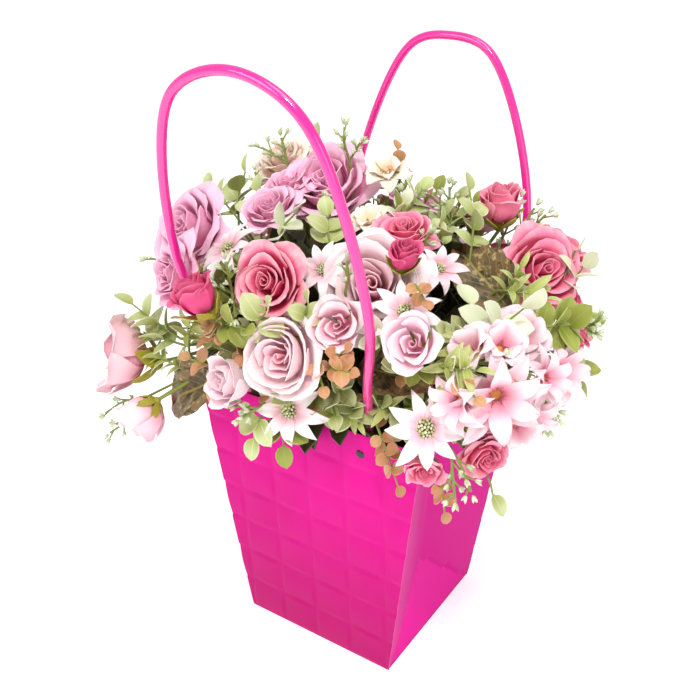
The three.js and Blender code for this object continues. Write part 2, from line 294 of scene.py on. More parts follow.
# camera
cameraSet = {"place": (0.3044, -0.4786, 0.5064), "azimuth": 33.5, "pitch": 27.14, "lens": 46.98}
cameraData = bpy.data.cameras.new("camera")
camera = bpy.data.objects.new("camera", cameraData)
scene.collection.objects.link(camera)
camera.location = cameraSet["place"]
camera.rotation_euler = (math.radians(90 - cameraSet["pitch"]), 0, math.radians(cameraSet["azimuth"]))
cameraData.lens = cameraSet["lens"]
cameraData.sensor_width = 36
cameraData.clip_start = 0.01
scene.camera = camera


# studio
lightAim = Vector((0, 0, 0.2))


def addArea(name, spot, size, power):
    data = bpy.data.lights.new(name, "AREA")
    data.shape = "DISK"
    data.size = size
    data.energy = power
    lamp = bpy.data.objects.new(name, data)
    scene.collection.objects.link(lamp)
    lamp.location = spot
    lamp.rotation_euler = (lightAim - Vector(spot)).to_track_quat("-Z", "Y").to_euler()


def makeStudio():
    world = bpy.data.worlds.new("studio")
    world.use_nodes = True
    sky = world.node_tree.nodes["Background"].inputs
    sky["Color"].default_value = (1, 1, 1, 1)
    sky["Strength"].default_value = 0.52
    scene.world = world
    scene.view_settings.view_transform = "Standard"
    addArea("softFront", (-0.5, -1.3, 1.1), 0.9, 6.5)
    addArea("softTop", (0.3, -0.1, 1.7), 0.9, 6.5)
    addArea("softRight", (1.4, -0.5, 0.6), 0.7, 2.5)
    addArea("glint", (0.5, -0.7, 1.5), 0.2, 8.5)
    floor = added("floor", bpy.ops.mesh.primitive_plane_add, size=60, location=(0, 0, -0.0012))
    settle(floor)
    shader = Shader("paleFloor")
    colour = shader.mix(shader.noise(6, 2), (0.93, 0.93, 0.93), (0.96, 0.96, 0.96))
    glow = {"Emission_Color": (1, 1, 1), "Emission_Strength": 0.55}
    setMaterials(floor, shader.finish(colour, Roughness=0.9, **glow))


makeStudio()
print("studio and camera made")


# finishes of the bag
def makeCardMaterial(name, upper, lower):
    shader = Shader(name)
    height = shader.node("ShaderNodeSeparateXYZ", None, {0: shader.object()}, 2)
    # colour runs from the lower to the upper colour with height: the darker lower colour is painted shade
    # towards the bottom of the bag
    colour = shader.mix(shader.step(height, 0.0, 0.2), rgb(lower), rgb(upper))
    colour = shader.mix(shader.noise(22, 3) * 0.14, colour, rgb("EE2AA0"))
    fibre = shader.noise(900, 2)
    leather = shader.noise(260, 4)
    normal = shader.bump(fibre * 0.3 + leather, 0.00008, 0.5)
    rough = shader.noise(40, 2) * 0.1 + 0.46
    return shader.finish(colour, normal, Roughness=rough, Specular_IOR_Level=0.12)


def makeRivetMaterial():
    shader = Shader("rivetMetal")
    scratch = shader.noise(700, 4)
    colour = shader.mix(scratch, rgb("26262A"), rgb("5A5A60"))
    rough = scratch * 0.15 + 0.2
    return shader.finish(colour, shader.bump(scratch, 0.00003, 0.4), Roughness=rough, Metallic=1.0)


# the magenta card is painted darker towards the bottom as painted shade
card = makeCardMaterial("magentaCard", "E00090", "B00064")
# the gusset card is a darker copy of the magenta card: painted shade on the sides turned from the light
shadedSideCard = makeCardMaterial("shadedSideCard", "C80086", "CE0088")
# the folded foot card is a brighter copy of the magenta card: painted light where it faces upward
litFootCard = makeCardMaterial("litFootCard", "E800A0", "E6009A")
cardEdge = plainFinish("cutCardEdge", (400, 3), "D8127E", "F564B4", Roughness=0.75)
tubePlastic = plainFinish("magentaTube", (18, 2), "EA1290", "F22C9E", (120, 2, 0.0001, 0.25),
                          Roughness=0.2, Coat_Weight=1.0, Coat_Roughness=0.04,
                          Subsurface_Weight=0.12, Subsurface_Radius=(0.004, 0.001, 0.002))
rivetMetal = makeRivetMaterial()

# bag panels
bagSet = {
    "baseHalfX": 0.062, "baseHalfY": 0.0625, "rimHalfX": 0.0875, "rimHalfY": 0.074,
    "height": 0.201, "card": 0.0008, "square": 0.030, "rowHeight": 0.0289, "relief": 0.001,
    "apexX": 0.049, "apexZ": 0.057, "gussetRimX": 0.058, "gussetInset": 0.0013, "gussetFoot": 0.0014,
    "rimSag": 0.0006,
}
lean = math.atan((bagSet["rimHalfY"] - bagSet["baseHalfY"]) / bagSet["height"])


def bagHalf(axis, share):
    # half the width or the depth of the bag at a share of its height
    return bagSet[f"baseHalf{axis}"] + (bagSet[f"rimHalf{axis}"] - bagSet[f"baseHalf{axis}"]) * share


def cardSheet(piece, angle, node):
    applyModifier(piece, "SOLIDIFY", thickness=bagSet["card"], offset=-1, material_offset_rim=1)
    smooth(piece, angle)
    place(piece, "card", node)


def weaveRelief(x, up):
    # strips pass over and under each other: a cell bulges along the strip that is on top
    column = x / bagSet["square"]
    row = up / bagSet["rowHeight"]
    over = (np.floor(column) + np.floor(row)) % 2
    alongX = np.sin(np.pi * (column - np.floor(column)))
    alongUp = np.sin(np.pi * (row - np.floor(row)))
    bulge = np.where(over > 0.5, alongX, alongUp) ** 0.8
    crossEdge = np.where(over > 0.5, alongUp, alongX)
    return bagSet["relief"] * bulge * smoothstep(0, 0.22, crossEdge)


def makePanel(name, side, node):
    piece = addGrid(name, 104, 104)
    points = readPoints(piece)
    share = (points[:, 1] + 1) / 2
    up = share * bagSet["height"]
    x = points[:, 0] * bagHalf("X", share)
    relief = weaveRelief(x, up) - 0.6 * bagSet["relief"]
    sag = bagSet["rimSag"] * np.sin(x * 60) * share ** 4
    writePoints(piece, np.stack([x, side * (bagHalf("Y", share) + relief + sag), up], axis=1))
    if side > 0:
        makeActive(piece)
        bpy.ops.object.mode_set(mode="EDIT")
        bpy.ops.mesh.select_all(action="SELECT")
        bpy.ops.mesh.flip_normals()
        bpy.ops.object.mode_set(mode="OBJECT")
    setMaterials(piece, card, cardEdge)
    cardSheet(piece, 40, node)


makePanel("frontPanel", -1, "bag_front_panel")
makePanel("backPanel", 1, "bag_back_panel")


def makeGusset(name, side, node):
    piece = addGrid(name, 41, 61)
    points = readPoints(piece)
    share = (points[:, 1] + 1) / 2
    z = bagSet["gussetFoot"] + share * (bagSet["height"] - bagSet["gussetFoot"])
    y = points[:, 0] * (bagHalf("Y", share) - bagSet["gussetInset"])
    # crease depth at the middle, from the foot fold up to the rim
    climb = np.clip((z - bagSet["apexZ"]) / (bagSet["height"] - bagSet["apexZ"]), 0, 1)
    creaseX = bagSet["apexX"] + (bagSet["gussetRimX"] - bagSet["apexX"]) * climb
    slant = np.abs(points[:, 0])
    upper = creaseX + (bagHalf("X", share) - creaseX) * slant
    footX = bagSet["baseHalfX"] - (bagSet["baseHalfX"] - bagSet["apexX"]) * z / bagSet["apexZ"]
    lowFold = z < bagSet["apexZ"] * (1 - slant)
    x = np.where(lowFold, footX, upper)
    writePoints(piece, np.stack([side * x, side * y, z], axis=1))
    setMaterials(piece, shadedSideCard, cardEdge, litFootCard)
    # the folded foot gets the brighter card, a painted highlight where it faces the light from above
    for face in piece.data.polygons:
        if all(lowFold[vertex] for vertex in face.vertices):
            face.material_index = 2
    cardSheet(piece, 25, node)


makeGusset("rightGusset", 1, "side_gusset_right")
makeGusset("leftGusset", -1, "side_gusset_left")


def makeBase():
    piece = addBlock("basePanel", "bag_base_panel")
    applyModifier(piece, "BEVEL", width=0.00025, segments=2)
    setMaterials(piece, card)
    place(piece, "card", "bag_base_panel")


makeBase()
print("bag panels made")

# handles, in millimetres: the arches, and the straight ends that are pressed flat
handleSet = {
    "radius": 3, "rimClear": 203, "reach": 225, "start": 69.4, "swingHeight": 90,
    "footZ": 177, "footY": 67.9, "flatZ": 186, "flatEnd": 12, "flatShare": 0.35,
    "front": {"side": -1, "top": 423.5, "slope": 0.392, "bow": 31.9, "swing": 5,
              "half": [(44, 177), (44, 190), (47.5, 203), (55, 240), (66.2, 302), (41, 405)]},
    "back": {"side": 1, "top": 412.8, "slope": 0.366, "bow": 47.2, "swing": 0,
             "half": [(44, 177), (44, 190), (50.5, 203), (64.5, 240), (70.8, 305), (31.2, 403.7)]},
}


def archPoints(arch):
    def outAt(z):
        rise = max(0, z - handleSet["rimClear"])
        drop = min(0, z - handleSet["rimClear"]) * math.tan(lean)
        share = rise / handleSet["reach"]
        return handleSet["start"] + drop + arch["slope"] * rise - arch["bow"] * share ** 2
    half = [Vector((x, arch["side"] * outAt(z), z)) * mm for x, z in arch["half"]]
    crown = Vector((-arch["swing"] / 2, arch["side"] * outAt(arch["top"]), arch["top"])) * mm

    def swung(p):
        # the other leg swings out a little further above the rim
        share = min(1, max(0, p.z / mm - handleSet["rimClear"]) / handleSet["swingHeight"])
        return Vector((-p.x - arch["swing"] * mm * share, p.y, p.z))

    return [*half, crown, *(swung(p) for p in reversed(half))]


def smoothPath(points, steps):
    # a centripetal curve through the points
    ends = [points[0] * 2 - points[1], *points, points[-1] * 2 - points[-2]]
    path = []

    def blend(first, second, low, high, t):
        return first * ((high - t) / (high - low)) + second * ((t - low) / (high - low))

    for i in range(1, len(ends) - 2):
        a, b, c, d = ends[i - 1:i + 3]
        ta = 0
        tb = ta + (b - a).length ** 0.5
        tc = tb + (c - b).length ** 0.5
        td = tc + (d - c).length ** 0.5
        for k in range(steps):
            t = tb + (tc - tb) * k / steps
            bc = blend(b, c, tb, tc, t)
            first = blend(blend(a, b, ta, tb, t), bc, ta, tc, t)
            second = blend(bc, blend(c, d, tc, td, t), tb, td, t)
            path.append(blend(first, second, tb, tc, t))
    path.append(points[-1])
    return path


def tubes(name, runs, radius, sides):
    # runs is a list of paths, and each point may carry its own thickness as a fourth value
    data = bpy.data.curves.new(name, "CURVE")
    data.dimensions = "3D"
    data.bevel_depth = radius
    data.bevel_resolution = max(0, sides // 2 - 2)
    data.use_fill_caps = True
    for run in runs:
        spline = data.splines.new("POLY")
        spline.points.add(len(run) - 1)
        for point, spot in zip(spline.points, run):
            point.co = (spot[0], spot[1], spot[2], 1)
            point.radius = spot[3] if len(spot) > 3 else 1
    piece = bpy.data.objects.new(name, data)
    scene.collection.objects.link(piece)
    makeActive(piece)
    bpy.ops.object.convert(target="MESH")
    piece = bpy.context.object
    piece.name = name
    return piece


def makeHandle(name, arch, node):
    piece = tubes(name, [smoothPath(archPoints(arch), 16)], handleSet["radius"] * mm, 20)
    points = readPoints(piece) / mm
    # the ends are pressed flat where the rivets pass
    squeeze = 1 - smoothstep(handleSet["flatZ"], handleSet["flatZ"] + handleSet["flatEnd"], points[:, 2])
    heights = [handleSet["footZ"], handleSet["rimClear"]]
    depths = [handleSet["footY"], handleSet["start"]]
    centre = arch["side"] * np.interp(points[:, 2], heights, depths)
    points[:, 1] = centre + (points[:, 1] - centre) * (1 - handleSet["flatShare"] * squeeze)
    writePoints(piece, points * mm)
    smooth(piece, 60)
    setMaterials(piece, tubePlastic)
    place(piece, "handle_plastic", node)


makeHandle("frontHandle", handleSet["front"], "handle_front")
makeHandle("backHandle", handleSet["back"], "handle_back")


def makeRivet(name, node, side):
    low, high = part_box(node)
    radius = (high.x - low.x) / 2
    rise = 0.0013
    piece = added(name, bpy.ops.mesh.primitive_uv_sphere_add, segments=32, ring_count=16, radius=radius)
    points = readPoints(piece)
    reach = np.hypot(points[:, 0], points[:, 1]) / radius
    dome = np.where(points[:, 2] > 0, rise * np.sqrt(np.clip(1 - reach ** 2.6, 0, 1)), 0)
    dimple = 0.0002 * np.exp(-(reach / 0.25) ** 2)
    points[:, 2] = np.where(points[:, 2] > 0, dome - dimple, 0)
    writePoints(piece, points)
    outwards = Vector((0, side * math.cos(lean), -math.sin(lean)))
    seat = (low + high) / 2 - outwards * rise / 2
    piece.data.transform(Matrix.Translation(seat) @ facing(outwards))
    smooth(piece, 40)
    setMaterials(piece, rivetMetal)
    place(piece, "rivet_metal", node)


for end, side in (("front", -1), ("back", 1)):
    for hand in ("left", "right"):
        makeRivet(f"{end}{hand.capitalize()}Rivet", f"rivet_{end}_{hand}", side)
print("handles and rivets made")


# petals
def petalMaterial(name, foot, body, rim, heartAndShade, rimShare, depth):
    # ring is 0 at the heart and 1 at the outer petals, along runs from foot to rim
    shader = Shader(name)
    ring = shader.attribute("ring")
    across, along = shader.uv()
    lengthwise = shader.node("ShaderNodeCombineXYZ", None, {0: across * 26, 1: along * 1.5})
    streak = shader.noise(1.0, 3, lengthwise)
    # the petal is darker towards its foot: partly the silk's own colour, partly painted shade where the
    # petals cup together
    colour = shader.mix(shader.step(along, 0.02, 0.6), rgb(foot), rgb(body))
    # inner petals lean to the heart colour: partly the silk's own deeper colour, partly painted shade in the
    # hollow of the rose
    inner = (1 - ring) ** 1.4 * depth
    colour = shader.mix(inner, colour, rgb(heartAndShade))
    broken = shader.step(shader.noise(130, 2), 0.3, 0.7) * 0.6 + 0.4
    edge = shader.step(along + streak * 0.16, 0.82, 1.1) * (ring * 0.55 + 0.45) * broken * rimShare
    colour = shader.mix(edge, colour, rgb(rim))
    colour = shader.mix(shader.noise(70, 3) * 0.12, colour, rgb(rim))
    cloth = shader.noise(2600, 2)
    normal = shader.bump(streak * 0.8 + cloth * 0.35, 0.00022, 0.5)
    return shader.finish(colour, normal, Roughness=0.62, Specular_IOR_Level=0.22,
                         Subsurface_Weight=0.25, Subsurface_Radius=(0.005, 0.003, 0.003))


# a rose has a radius of about one, its petals rise from the foot and curl outward at the lip
roseSet = {"foot": -0.62, "roundness": 0.24, "wing": 0.06, "ruffle": 0.05, "lipFrom": 0.68, "layerTurn": 2.4}


def curved(first, second, third, fourth, t):
    # a cubic curve with two handles in the middle
    back = 1 - t
    return first * back ** 3 + 3 * second * t * back ** 2 + 3 * third * t * t * back + fourth * t ** 3


def rosePetal(name, half, belly, lip, top, curl, spiral, ring, turn, point):
    piece = addGrid(name, 9, 9)
    seed = turn * 3.7 + belly * 11
    rose = roseSet

    def shape(u, v):
        t = (v + 1) / 2
        t = t * (1 - rose["roundness"] * np.abs(u) ** 2.6)
        r = curved(0.08, belly, lip * 0.97, lip, t)
        z = curved(rose["foot"], rose["foot"] + 0.04, top * 0.5, top, t)
        s = np.clip((t - rose["lipFrom"]) / (1 - rose["lipFrom"]), 0, 1)
        r = r + curl * s ** 2 * (1 - 0.3 * np.abs(u))
        z = z - curl * 0.75 * s ** 3 + point * np.exp(-(u / 0.2) ** 2) * s
        wing = np.clip((np.abs(u) - 0.7) / 0.3, 0, 1) * smoothstep(0.25, 0.8, t)
        r = r + rose["wing"] * wing ** 2
        z = z + rose["ruffle"] * np.sin(u * 5 + seed) * s
        r = r + rose["ruffle"] * 0.8 * np.cos(u * 4.3 + seed * 2) * s
        width = 0.3 + 0.7 * np.sin(np.pi / 2 * np.clip(t * 1.35, 0, 1))
        phi = turn + u * math.radians(half) * width
        r = r * (1 + spiral * u)
        return r * np.cos(phi), r * np.sin(phi), z

    shaped(piece, shape)
    mark(piece, "ring", ring)
    return piece


def heartRoll(name, turns, radius, top):
    # one long strip rolled up as the bud in the middle
    piece = addGrid(name, 46, 6)
    foot = -0.5

    def shape(u, v):
        t = (v + 1) / 2
        run = (u + 1) / 2
        phi = run * turns * 2 * math.pi
        r = (0.02 + radius * run ** 0.8) * (0.55 + 0.45 * smoothstep(0, 0.8, t)) + 0.03 * t ** 3
        z = foot + (top - foot) * t - 0.1 * run * t + 0.03 * np.sin(phi * 1.7) * t ** 2
        return r * np.cos(phi), r * np.sin(phi), z

    shaped(piece, shape)
    mark(piece, "ring", 0.0)
    return piece


def roseTemplate(name, layers, roll, seed):
    rng = random.Random(seed)
    pieces = [heartRoll(f"{name}Roll", *roll)]
    for index, (count, half, belly, lip, top, curl, spiral, point) in enumerate(layers):
        offset = roseSet["layerTurn"] * (index + 1)
        for k in range(count):
            turn = offset + 2 * math.pi * (k + rng.uniform(-0.16, 0.16)) / count
            pieces.append(rosePetal(
                f"{name}Petal", half * rng.uniform(0.88, 1.1), belly * rng.uniform(0.96, 1.04),
                lip * rng.uniform(0.91, 1.07), top + rng.uniform(-0.07, 0.06), curl * rng.uniform(0.5, 1.5),
                spiral, (index + 1) / len(layers), turn, point * rng.uniform(0.3, 1.5)))
    whole = joined(pieces, name)
    thicken(whole, 0.02)
    return whole


# each layer: count, half angle, belly, lip, top, curl, spiral, point
templates = {}
templates["open"] = roseTemplate("openRose", [
    (2, 100, .20, .22, .44, .03, .22, .03), (3, 82, .38, .42, .47, .08, .16, .05),
    (3, 74, .56, .66, .43, .15, .12, .05), (4, 60, .74, .92, .26, .24, .09, .06),
    (5, 50, .84, 1.08, .0, .30, .06, .08)], (1.5, 0.15, 0.42), 3)
templates["full"] = roseTemplate("fullRose", [
    (3, 76, .24, .26, .46, .06, .22, .07), (3, 70, .40, .44, .52, .12, .18, .08),
    (4, 56, .56, .64, .46, .20, .14, .09), (5, 50, .70, .88, .28, .28, .10, .10),
    (5, 46, .82, 1.06, .04, .32, .06, .10)], (1.4, 0.15, 0.43), 7)
templates["cabbage"] = roseTemplate("cabbageRose", [
    (3, 60, .24, .28, .34, .10, .30, .10), (3, 66, .42, .46, .42, .10, .20, .08),
    (2, 100, .76, .70, .52, .06, .12, .02), (3, 84, .94, .92, .44, .12, .10, .03),
    (4, 64, 1.02, 1.10, .10, .18, .06, .05)], (1.0, 0.12, 0.28), 11)
templates["angular"] = roseTemplate("angularRose", [
    (3, 56, .38, .34, .20, .10, .20, .12), (3, 62, .62, .66, .42, .22, .12, .26),
    (4, 54, .80, .98, .36, .34, .08, .30)], (1.1, 0.14, 0.18), 19)
templates["bud"] = roseTemplate("roseBud", [
    (2, 100, .40, .24, 1.14, .02, .24, .05), (3, 78, .62, .40, 1.16, .08, .18, .08),
    (3, 72, .82, .62, 1.06, .16, .14, .10), (4, 58, .94, .84, .82, .24, .08, .12)], (1.4, 0.15, 1.1), 23)
templates["closed"] = roseTemplate("closedRose", [
    (3, 80, .50, .28, .86, .04, .2, .14), (4, 64, .78, .56, .86, .08, .14, .2),
    (5, 54, 1.0, .86, .70, .16, .08, .26)], (1.3, 0.15, 0.72), 29)


def strapPetal(name, length, width, turn, ring, lift, droop, trough, sharp, belly, level):
    # a daisy-like petal that runs outward, pointed, with raised sides
    piece = addGrid(name, 5, 9)
    start = 0.14

    def shape(u, v):
        t = (v + 1) / 2
        half = width * np.clip(np.sin(np.pi * np.clip(t, 0, 1) ** belly), 0, 1) ** sharp + 0.03 * (1 - t)
        out = start + (length - start) * t
        z = level + lift * np.sin(t * 2.2) - droop * t ** 2 + trough * np.abs(u) ** 1.6 * (1 - 0.5 * t)
        y = u * half + 0.05 * math.sin(turn * 7) * t ** 2
        z = z + 0.02 * np.cos(u * 9) * np.sin(np.pi * t)
        return (out * math.cos(turn) - y * math.sin(turn), out * math.sin(turn) + y * math.cos(turn), z)

    shaped(piece, shape)
    mark(piece, "ring", ring)
    return piece


def strapTemplate(name, rings, seed):
    rng = random.Random(seed)
    pieces = []
    for index, (count, length, width, lift, droop, trough, sharp, belly, level) in enumerate(rings):
        for k in range(count):
            turn = index * 0.45 + 2 * math.pi * (k + rng.uniform(-0.1, 0.1)) / count
            pieces.append(strapPetal(
                f"{name}Petal", length * rng.uniform(0.9, 1.08), width * rng.uniform(0.9, 1.1), turn,
                (index + 1) / len(rings), lift + rng.uniform(-0.06, 0.06),
                droop + rng.uniform(-0.05, 0.08), trough, sharp, belly, level))
    whole = joined(pieces, name)
    thicken(whole, 0.025)
    return whole


# each ring: count, length, width, lift, droop, trough, sharpness, belly, level
templates["daisy"] = strapTemplate("daisyPetals", [
    (9, 1.14, 0.175, 0.24, 0.22, 0.07, 0.85, 0.72, 0.02)], 5)
templates["blossom"] = strapTemplate("blossomPetals", [
    (8, 1.2, 0.21, 0.46, 0.26, 0.12, 0.9, 0.7, -0.04), (6, 0.95, 0.21, 0.7, 0.1, 0.16, 0.9, 0.72, 0.02)], 6)
templates["tulip"] = strapTemplate("tulipPetals", [
    (5, 0.95, 0.44, 0.85, 0.12, 0.2, 0.55, 0.95, -0.1),
    (4, 0.7, 0.36, 0.95, 0.0, 0.22, 0.55, 0.95, -0.05)], 9)
templates["freesia"] = strapTemplate("freesiaPetals", [
    (6, 0.95, 0.34, 0.55, 0.3, 0.12, 0.62, 0.9, -0.05), (4, 0.6, 0.26, 0.65, 0.05, 0.16, 0.62, 0.9, 0.0)], 8)


# steps that spread a count of things evenly: a turn in radians, and shares of one
goldenTurn = 2.39996
goldenStep = 0.61803
secondStep = 0.7548
thirdStep = 0.5698


def beadDome(name, radius, count, bead, lift):
    # beads spread over a dome by the golden angle
    seedBead = added("bead", bpy.ops.mesh.primitive_ico_sphere_add, subdivisions=1, radius=bead)
    smooth(seedBead, 180)
    beads = []
    for k in range(count):
        share = math.sqrt((k + 0.5) / count)
        phi = k * goldenTurn
        spot = Vector((radius * share * math.cos(phi), radius * share * math.sin(phi),
                       lift * (1 - share ** 2) + 0.08))
        size = 0.85 + 0.3 * ((k * 7) % 5) / 5
        twin = copied(seedBead, Matrix.Translation(spot) @ Matrix.Scale(size, 4))
        mark(twin, "ring", ((k * 13) % 7) / 7)
        beads.append(twin)
    removed(seedBead)
    return joined(beads, name)


def domeCore(name, radius, lift):
    piece = added(name, bpy.ops.mesh.primitive_uv_sphere_add, segments=18, ring_count=8, radius=1)
    points = readPoints(piece)
    points[:, 2] = np.where(points[:, 2] > 0, points[:, 2] * lift, points[:, 2] * 0.06)
    points[:, :2] *= radius
    writePoints(piece, points)
    smooth(piece, 80)
    mark(piece, "ring", 0.5)
    return piece


templates["beads"] = beadDome("beads", 0.27, 34, 0.045, 0.14)
templates["core"] = domeCore("core", 0.33, 0.13)


def calyxTemplate(name, count, reach, rise, width):
    pieces = []
    for k in range(count):
        piece = addGrid(name, 5, 7)
        turn = 2 * math.pi * k / count

        def shape(u, v):
            t = (v + 1) / 2
            half = width * (0.35 + 1.5 * t) * (1 - t ** 2.2) + 0.01
            out = 0.1 + (reach - 0.1) * np.sin(t * 1.5) + 0.12 * t ** 4
            z = -0.14 + rise * t ** 1.5
            phi = turn + u * half / np.maximum(out, 0.1)
            return out * np.cos(phi), out * np.sin(phi), z

        shaped(piece, shape)
        mark(piece, "ring", 0.5)
        pieces.append(piece)
    cup = added("cup", bpy.ops.mesh.primitive_uv_sphere_add, segments=14, ring_count=8, radius=0.17,
                location=(0, 0, -0.08))
    settle(cup)
    mark(cup, "ring", 0.2)
    whole = joined([*pieces, cup], name)
    thicken(whole, 0.03)
    return whole


templates["calyx"] = calyxTemplate("calyx", 5, 0.62, 0.55, 0.22)
print("head templates made")


def beadMaterial(name, dark, pale):
    shader = Shader(name)
    colour = shader.mix(shader.attribute("ring") * 0.7 + shader.noise(500, 2) * 0.4, rgb(dark), rgb(pale))
    return shader.finish(colour, shader.bump(shader.noise(900, 2), 0.00015, 0.4), Roughness=0.4)


calyxFinish = plainFinish("oliveCalyx", (160, 3), "7F7A1E", "C3B63C", (500, 2, 0.0002, 0.4), Roughness=0.5)
beadFinish = beadMaterial("seedBeads", "A9B05A", "F2F1D2")
coreFinish = beadMaterial("darkCore", "4A4A20", "86803A")
orangeFinish = beadMaterial("orangeDisc", "E59A2A", "F6C465")
# foot, body, rim, heart, rim share, heart depth; the darker foot and heart are partly the silk's own colour
# and partly painted shade
looks = {
    "mauve": ("E08CB8", "FABAD6", "FEE2EC", "D878A8", 0.6, 0.4),
    "pinkCream": ("DC3474", "F46A98", "FDDCD6", "CC1F60", 0.85, 0.5),
    "hotPink": ("BE2A5C", "DE4880", "F492AE", "B41E52", 0.6, 0.35),
    "rosePink": ("E65288", "F97EA2", "FECDD8", "DA3A70", 0.75, 0.5),
    "salmon": ("F0788E", "FB9AAA", "FEC8D0", "E4607C", 0.7, 0.4),
    "blush": ("F9AEC2", "FEE8EA", "FFF7F5", "F288A4", 0.6, 0.62),
    "blushDeep": ("F08CA8", "FCCCD6", "FEEAEC", "EC8AA4", 0.7, 0.5),
    "blushPale": ("F9B2C6", "FDDFE6", "FFF4F6", "F5B4C4", 0.6, 0.35),
    "cup": ("E07C9E", "FCCCD8", "FFF7F4", "CE5C86", 1.0, 0.5),
    "cupMauve": ("DC84A6", "FACEDC", "FFF3F4", "CC6C92", 1.0, 0.5),
    "peach": ("FBD4BC", "FFE8D8", "FFF6EE", "F6C4AC", 0.6, 0.3),
    "daisy": ("F2B2C4", "FEF2F2", "FFFDFB", "F8D6DE", 0.8, 0.0),
    "blossom": ("F8A8BE", "FEE4EA", "FFF8F8", "F9B4C6", 0.8, 0.3),
    "cream": ("F8E2BC", "FEF4E6", "FFFBF4", "F2D8AC", 0.7, 0.35),
}
petalFinish = {name: petalMaterial(f"{name}Petal", *look) for name, look in looks.items()}

# flower heads
# CAD node: template, look, facing, spin, size against the CAD head
heads = {
    "rose_mauve_left": ("full", "mauve", (-0.2, -0.8, 0.5), 0.4, 1.2),
    "rose_mauve_low_left": ("full", "mauve", (-0.35, -0.8, 0.3), 1.7, 1.2),
    "rose_mauve_top": ("full", "mauve", (0.1, -0.6, 0.8), 2.2, 1.15),
    "rose_mauve_middle": ("full", "mauve", (0, -0.5, 0.85), 0.2, 1.15),
    "rose_peach_top": ("full", "peach", (-0.2, -0.5, 0.85), 0.9, 1.1),
    "rose_pink_front": ("open", "pinkCream", (0.05, -0.85, 0.5), 0.5, 1.0),
    "bud_pink_left": ("bud", "hotPink", (-0.45, -0.4, 0.8), 0.3, 1.15),
    "rose_blush_front": ("cabbage", "blush", (0.1, -0.9, 0.35), 0.0, 1.0),
    "bud_blush_front": ("closed", "blushPale", (-0.3, -0.9, 0.25), 1.0, 1.25),
    "daisy_front_low": ("daisy", "daisy", (0.2, -0.75, 0.2), 0.2, 1.35),
    "daisy_front_high": ("daisy", "daisy", (0.2, -0.65, 0.6), 1.0, 1.6),
    "daisy_left": ("daisy", "daisy", (-0.35, -0.55, 0.8), 0.6, 1.35),
    "rose_pink_small": ("angular", "cup", (0.25, -0.85, 0.35), 1.4, 1.05),
    "rose_blush_right": ("open", "blush", (0.3, -0.75, 0.6), 2.6, 1.35),
    "daisy_right": ("daisy", "daisy", (0.35, -0.65, 0.65), 0.1, 1.55),
    "rose_mauve_cup": ("angular", "cupMauve", (0.0, -0.8, 0.5), 0.7, 1.1),
    "bud_pink_middle": ("bud", "hotPink", (0.2, -0.2, 1), 0.8, 1.1),
    "rose_pink_middle": ("open", "rosePink", (0.15, -0.3, 0.95), 1.9, 1.15),
    "daisy_corner": ("daisy", "daisy", (0.45, -0.85, 0.4), 0.35, 1.1),
    "bud_pink_corner": ("angular", "rosePink", (0.4, -0.75, -0.35), 0.5, 1.0),
    "rose_pink_corner": ("full", "rosePink", (0.75, -0.55, -0.1), 1.1, 1.0),
    "bud_pink_tall": ("bud", "rosePink", (0.05, -0.05, 1), 2.0, 1.2),
    "rose_pink_far_right": ("open", "rosePink", (0.7, -0.5, 0.55), 0.7, 1.1),
    "rose_salmon_far_right": ("open", "salmon", (0.4, 0.35, 0.85), 0.2, 1.0),
    "rose_pink_outer": ("open", "rosePink", (0.85, 0.3, 0.35), 1.5, 1.0),
    "rose_blush_left": ("angular", "blushDeep", (-0.85, -0.45, 0.15), 0.9, 1.2),
    "rose_blush_hanging": ("closed", "blushPale", (-0.45, -0.5, -0.7), 0.3, 1.15),
    "freesia_cream_top": ("freesia", "cream", (0.2, -0.5, 0.85), 0.3, 1.3),
    "freesia_cream_middle": ("freesia", "cream", (0, -0.4, 0.9), 1.2, 1.3),
    "blossom_right_high": ("tulip", "blossom", (0.4, -0.4, 0.8), 0.2, 1.5),
    "blossom_right_front": ("blossom", "blossom", (0.5, -0.8, 0.2), 0.7, 1.4),
    "blossom_right_low": ("blossom", "blossom", (0.7, -0.6, -0.1), 1.2, 1.35),
    "blossom_right_outer": ("blossom", "blossom", (0.8, -0.4, 0.3), 0.4, 1.35),
    "rose_pink_right": ("open", "rosePink", (0.85, 0.1, 0.5), 0.8, 1.0),
    "rose_mauve_back": ("full", "mauve", (-0.1, 0.75, 0.65), 0.1, 1.0),
    "rose_blush_back": ("cabbage", "blush", (0.2, 0.9, 0.35), 0.5, 1.0),
    "daisy_back": ("daisy", "daisy", (-0.1, 0.9, 0.2), 0.9, 1.0),
    "rose_pink_back_left": ("open", "pinkCream", (-0.7, 0.5, 0.5), 1.3, 1.0),
    "rose_blush_back_left": ("open", "blush", (-0.95, 0, 0.3), 0.6, 1.0),
}
# how far a CAD head reaches along its axis, and its foot, for a radius of one
headSpan = {"rose": (1.52, 1.0), "bud": (2.52, 1.3), "daisy": (1.16, 0.8),
            "blossom": (1.16, 0.8), "freesia": (1.86, 1.4)}


def headFrame(node, face):
    points = readPoints(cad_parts[node])
    axis = np.array(Vector(face).normalized())
    along = points @ axis
    span, foot = headSpan[node.split("_")[0]]
    radius = (along.max() - along.min()) / span
    low = points[along < along.min() + 0.02 * radius]
    socket = low.mean(axis=0)
    return Vector(socket + axis * radius * foot), radius, Vector(socket)


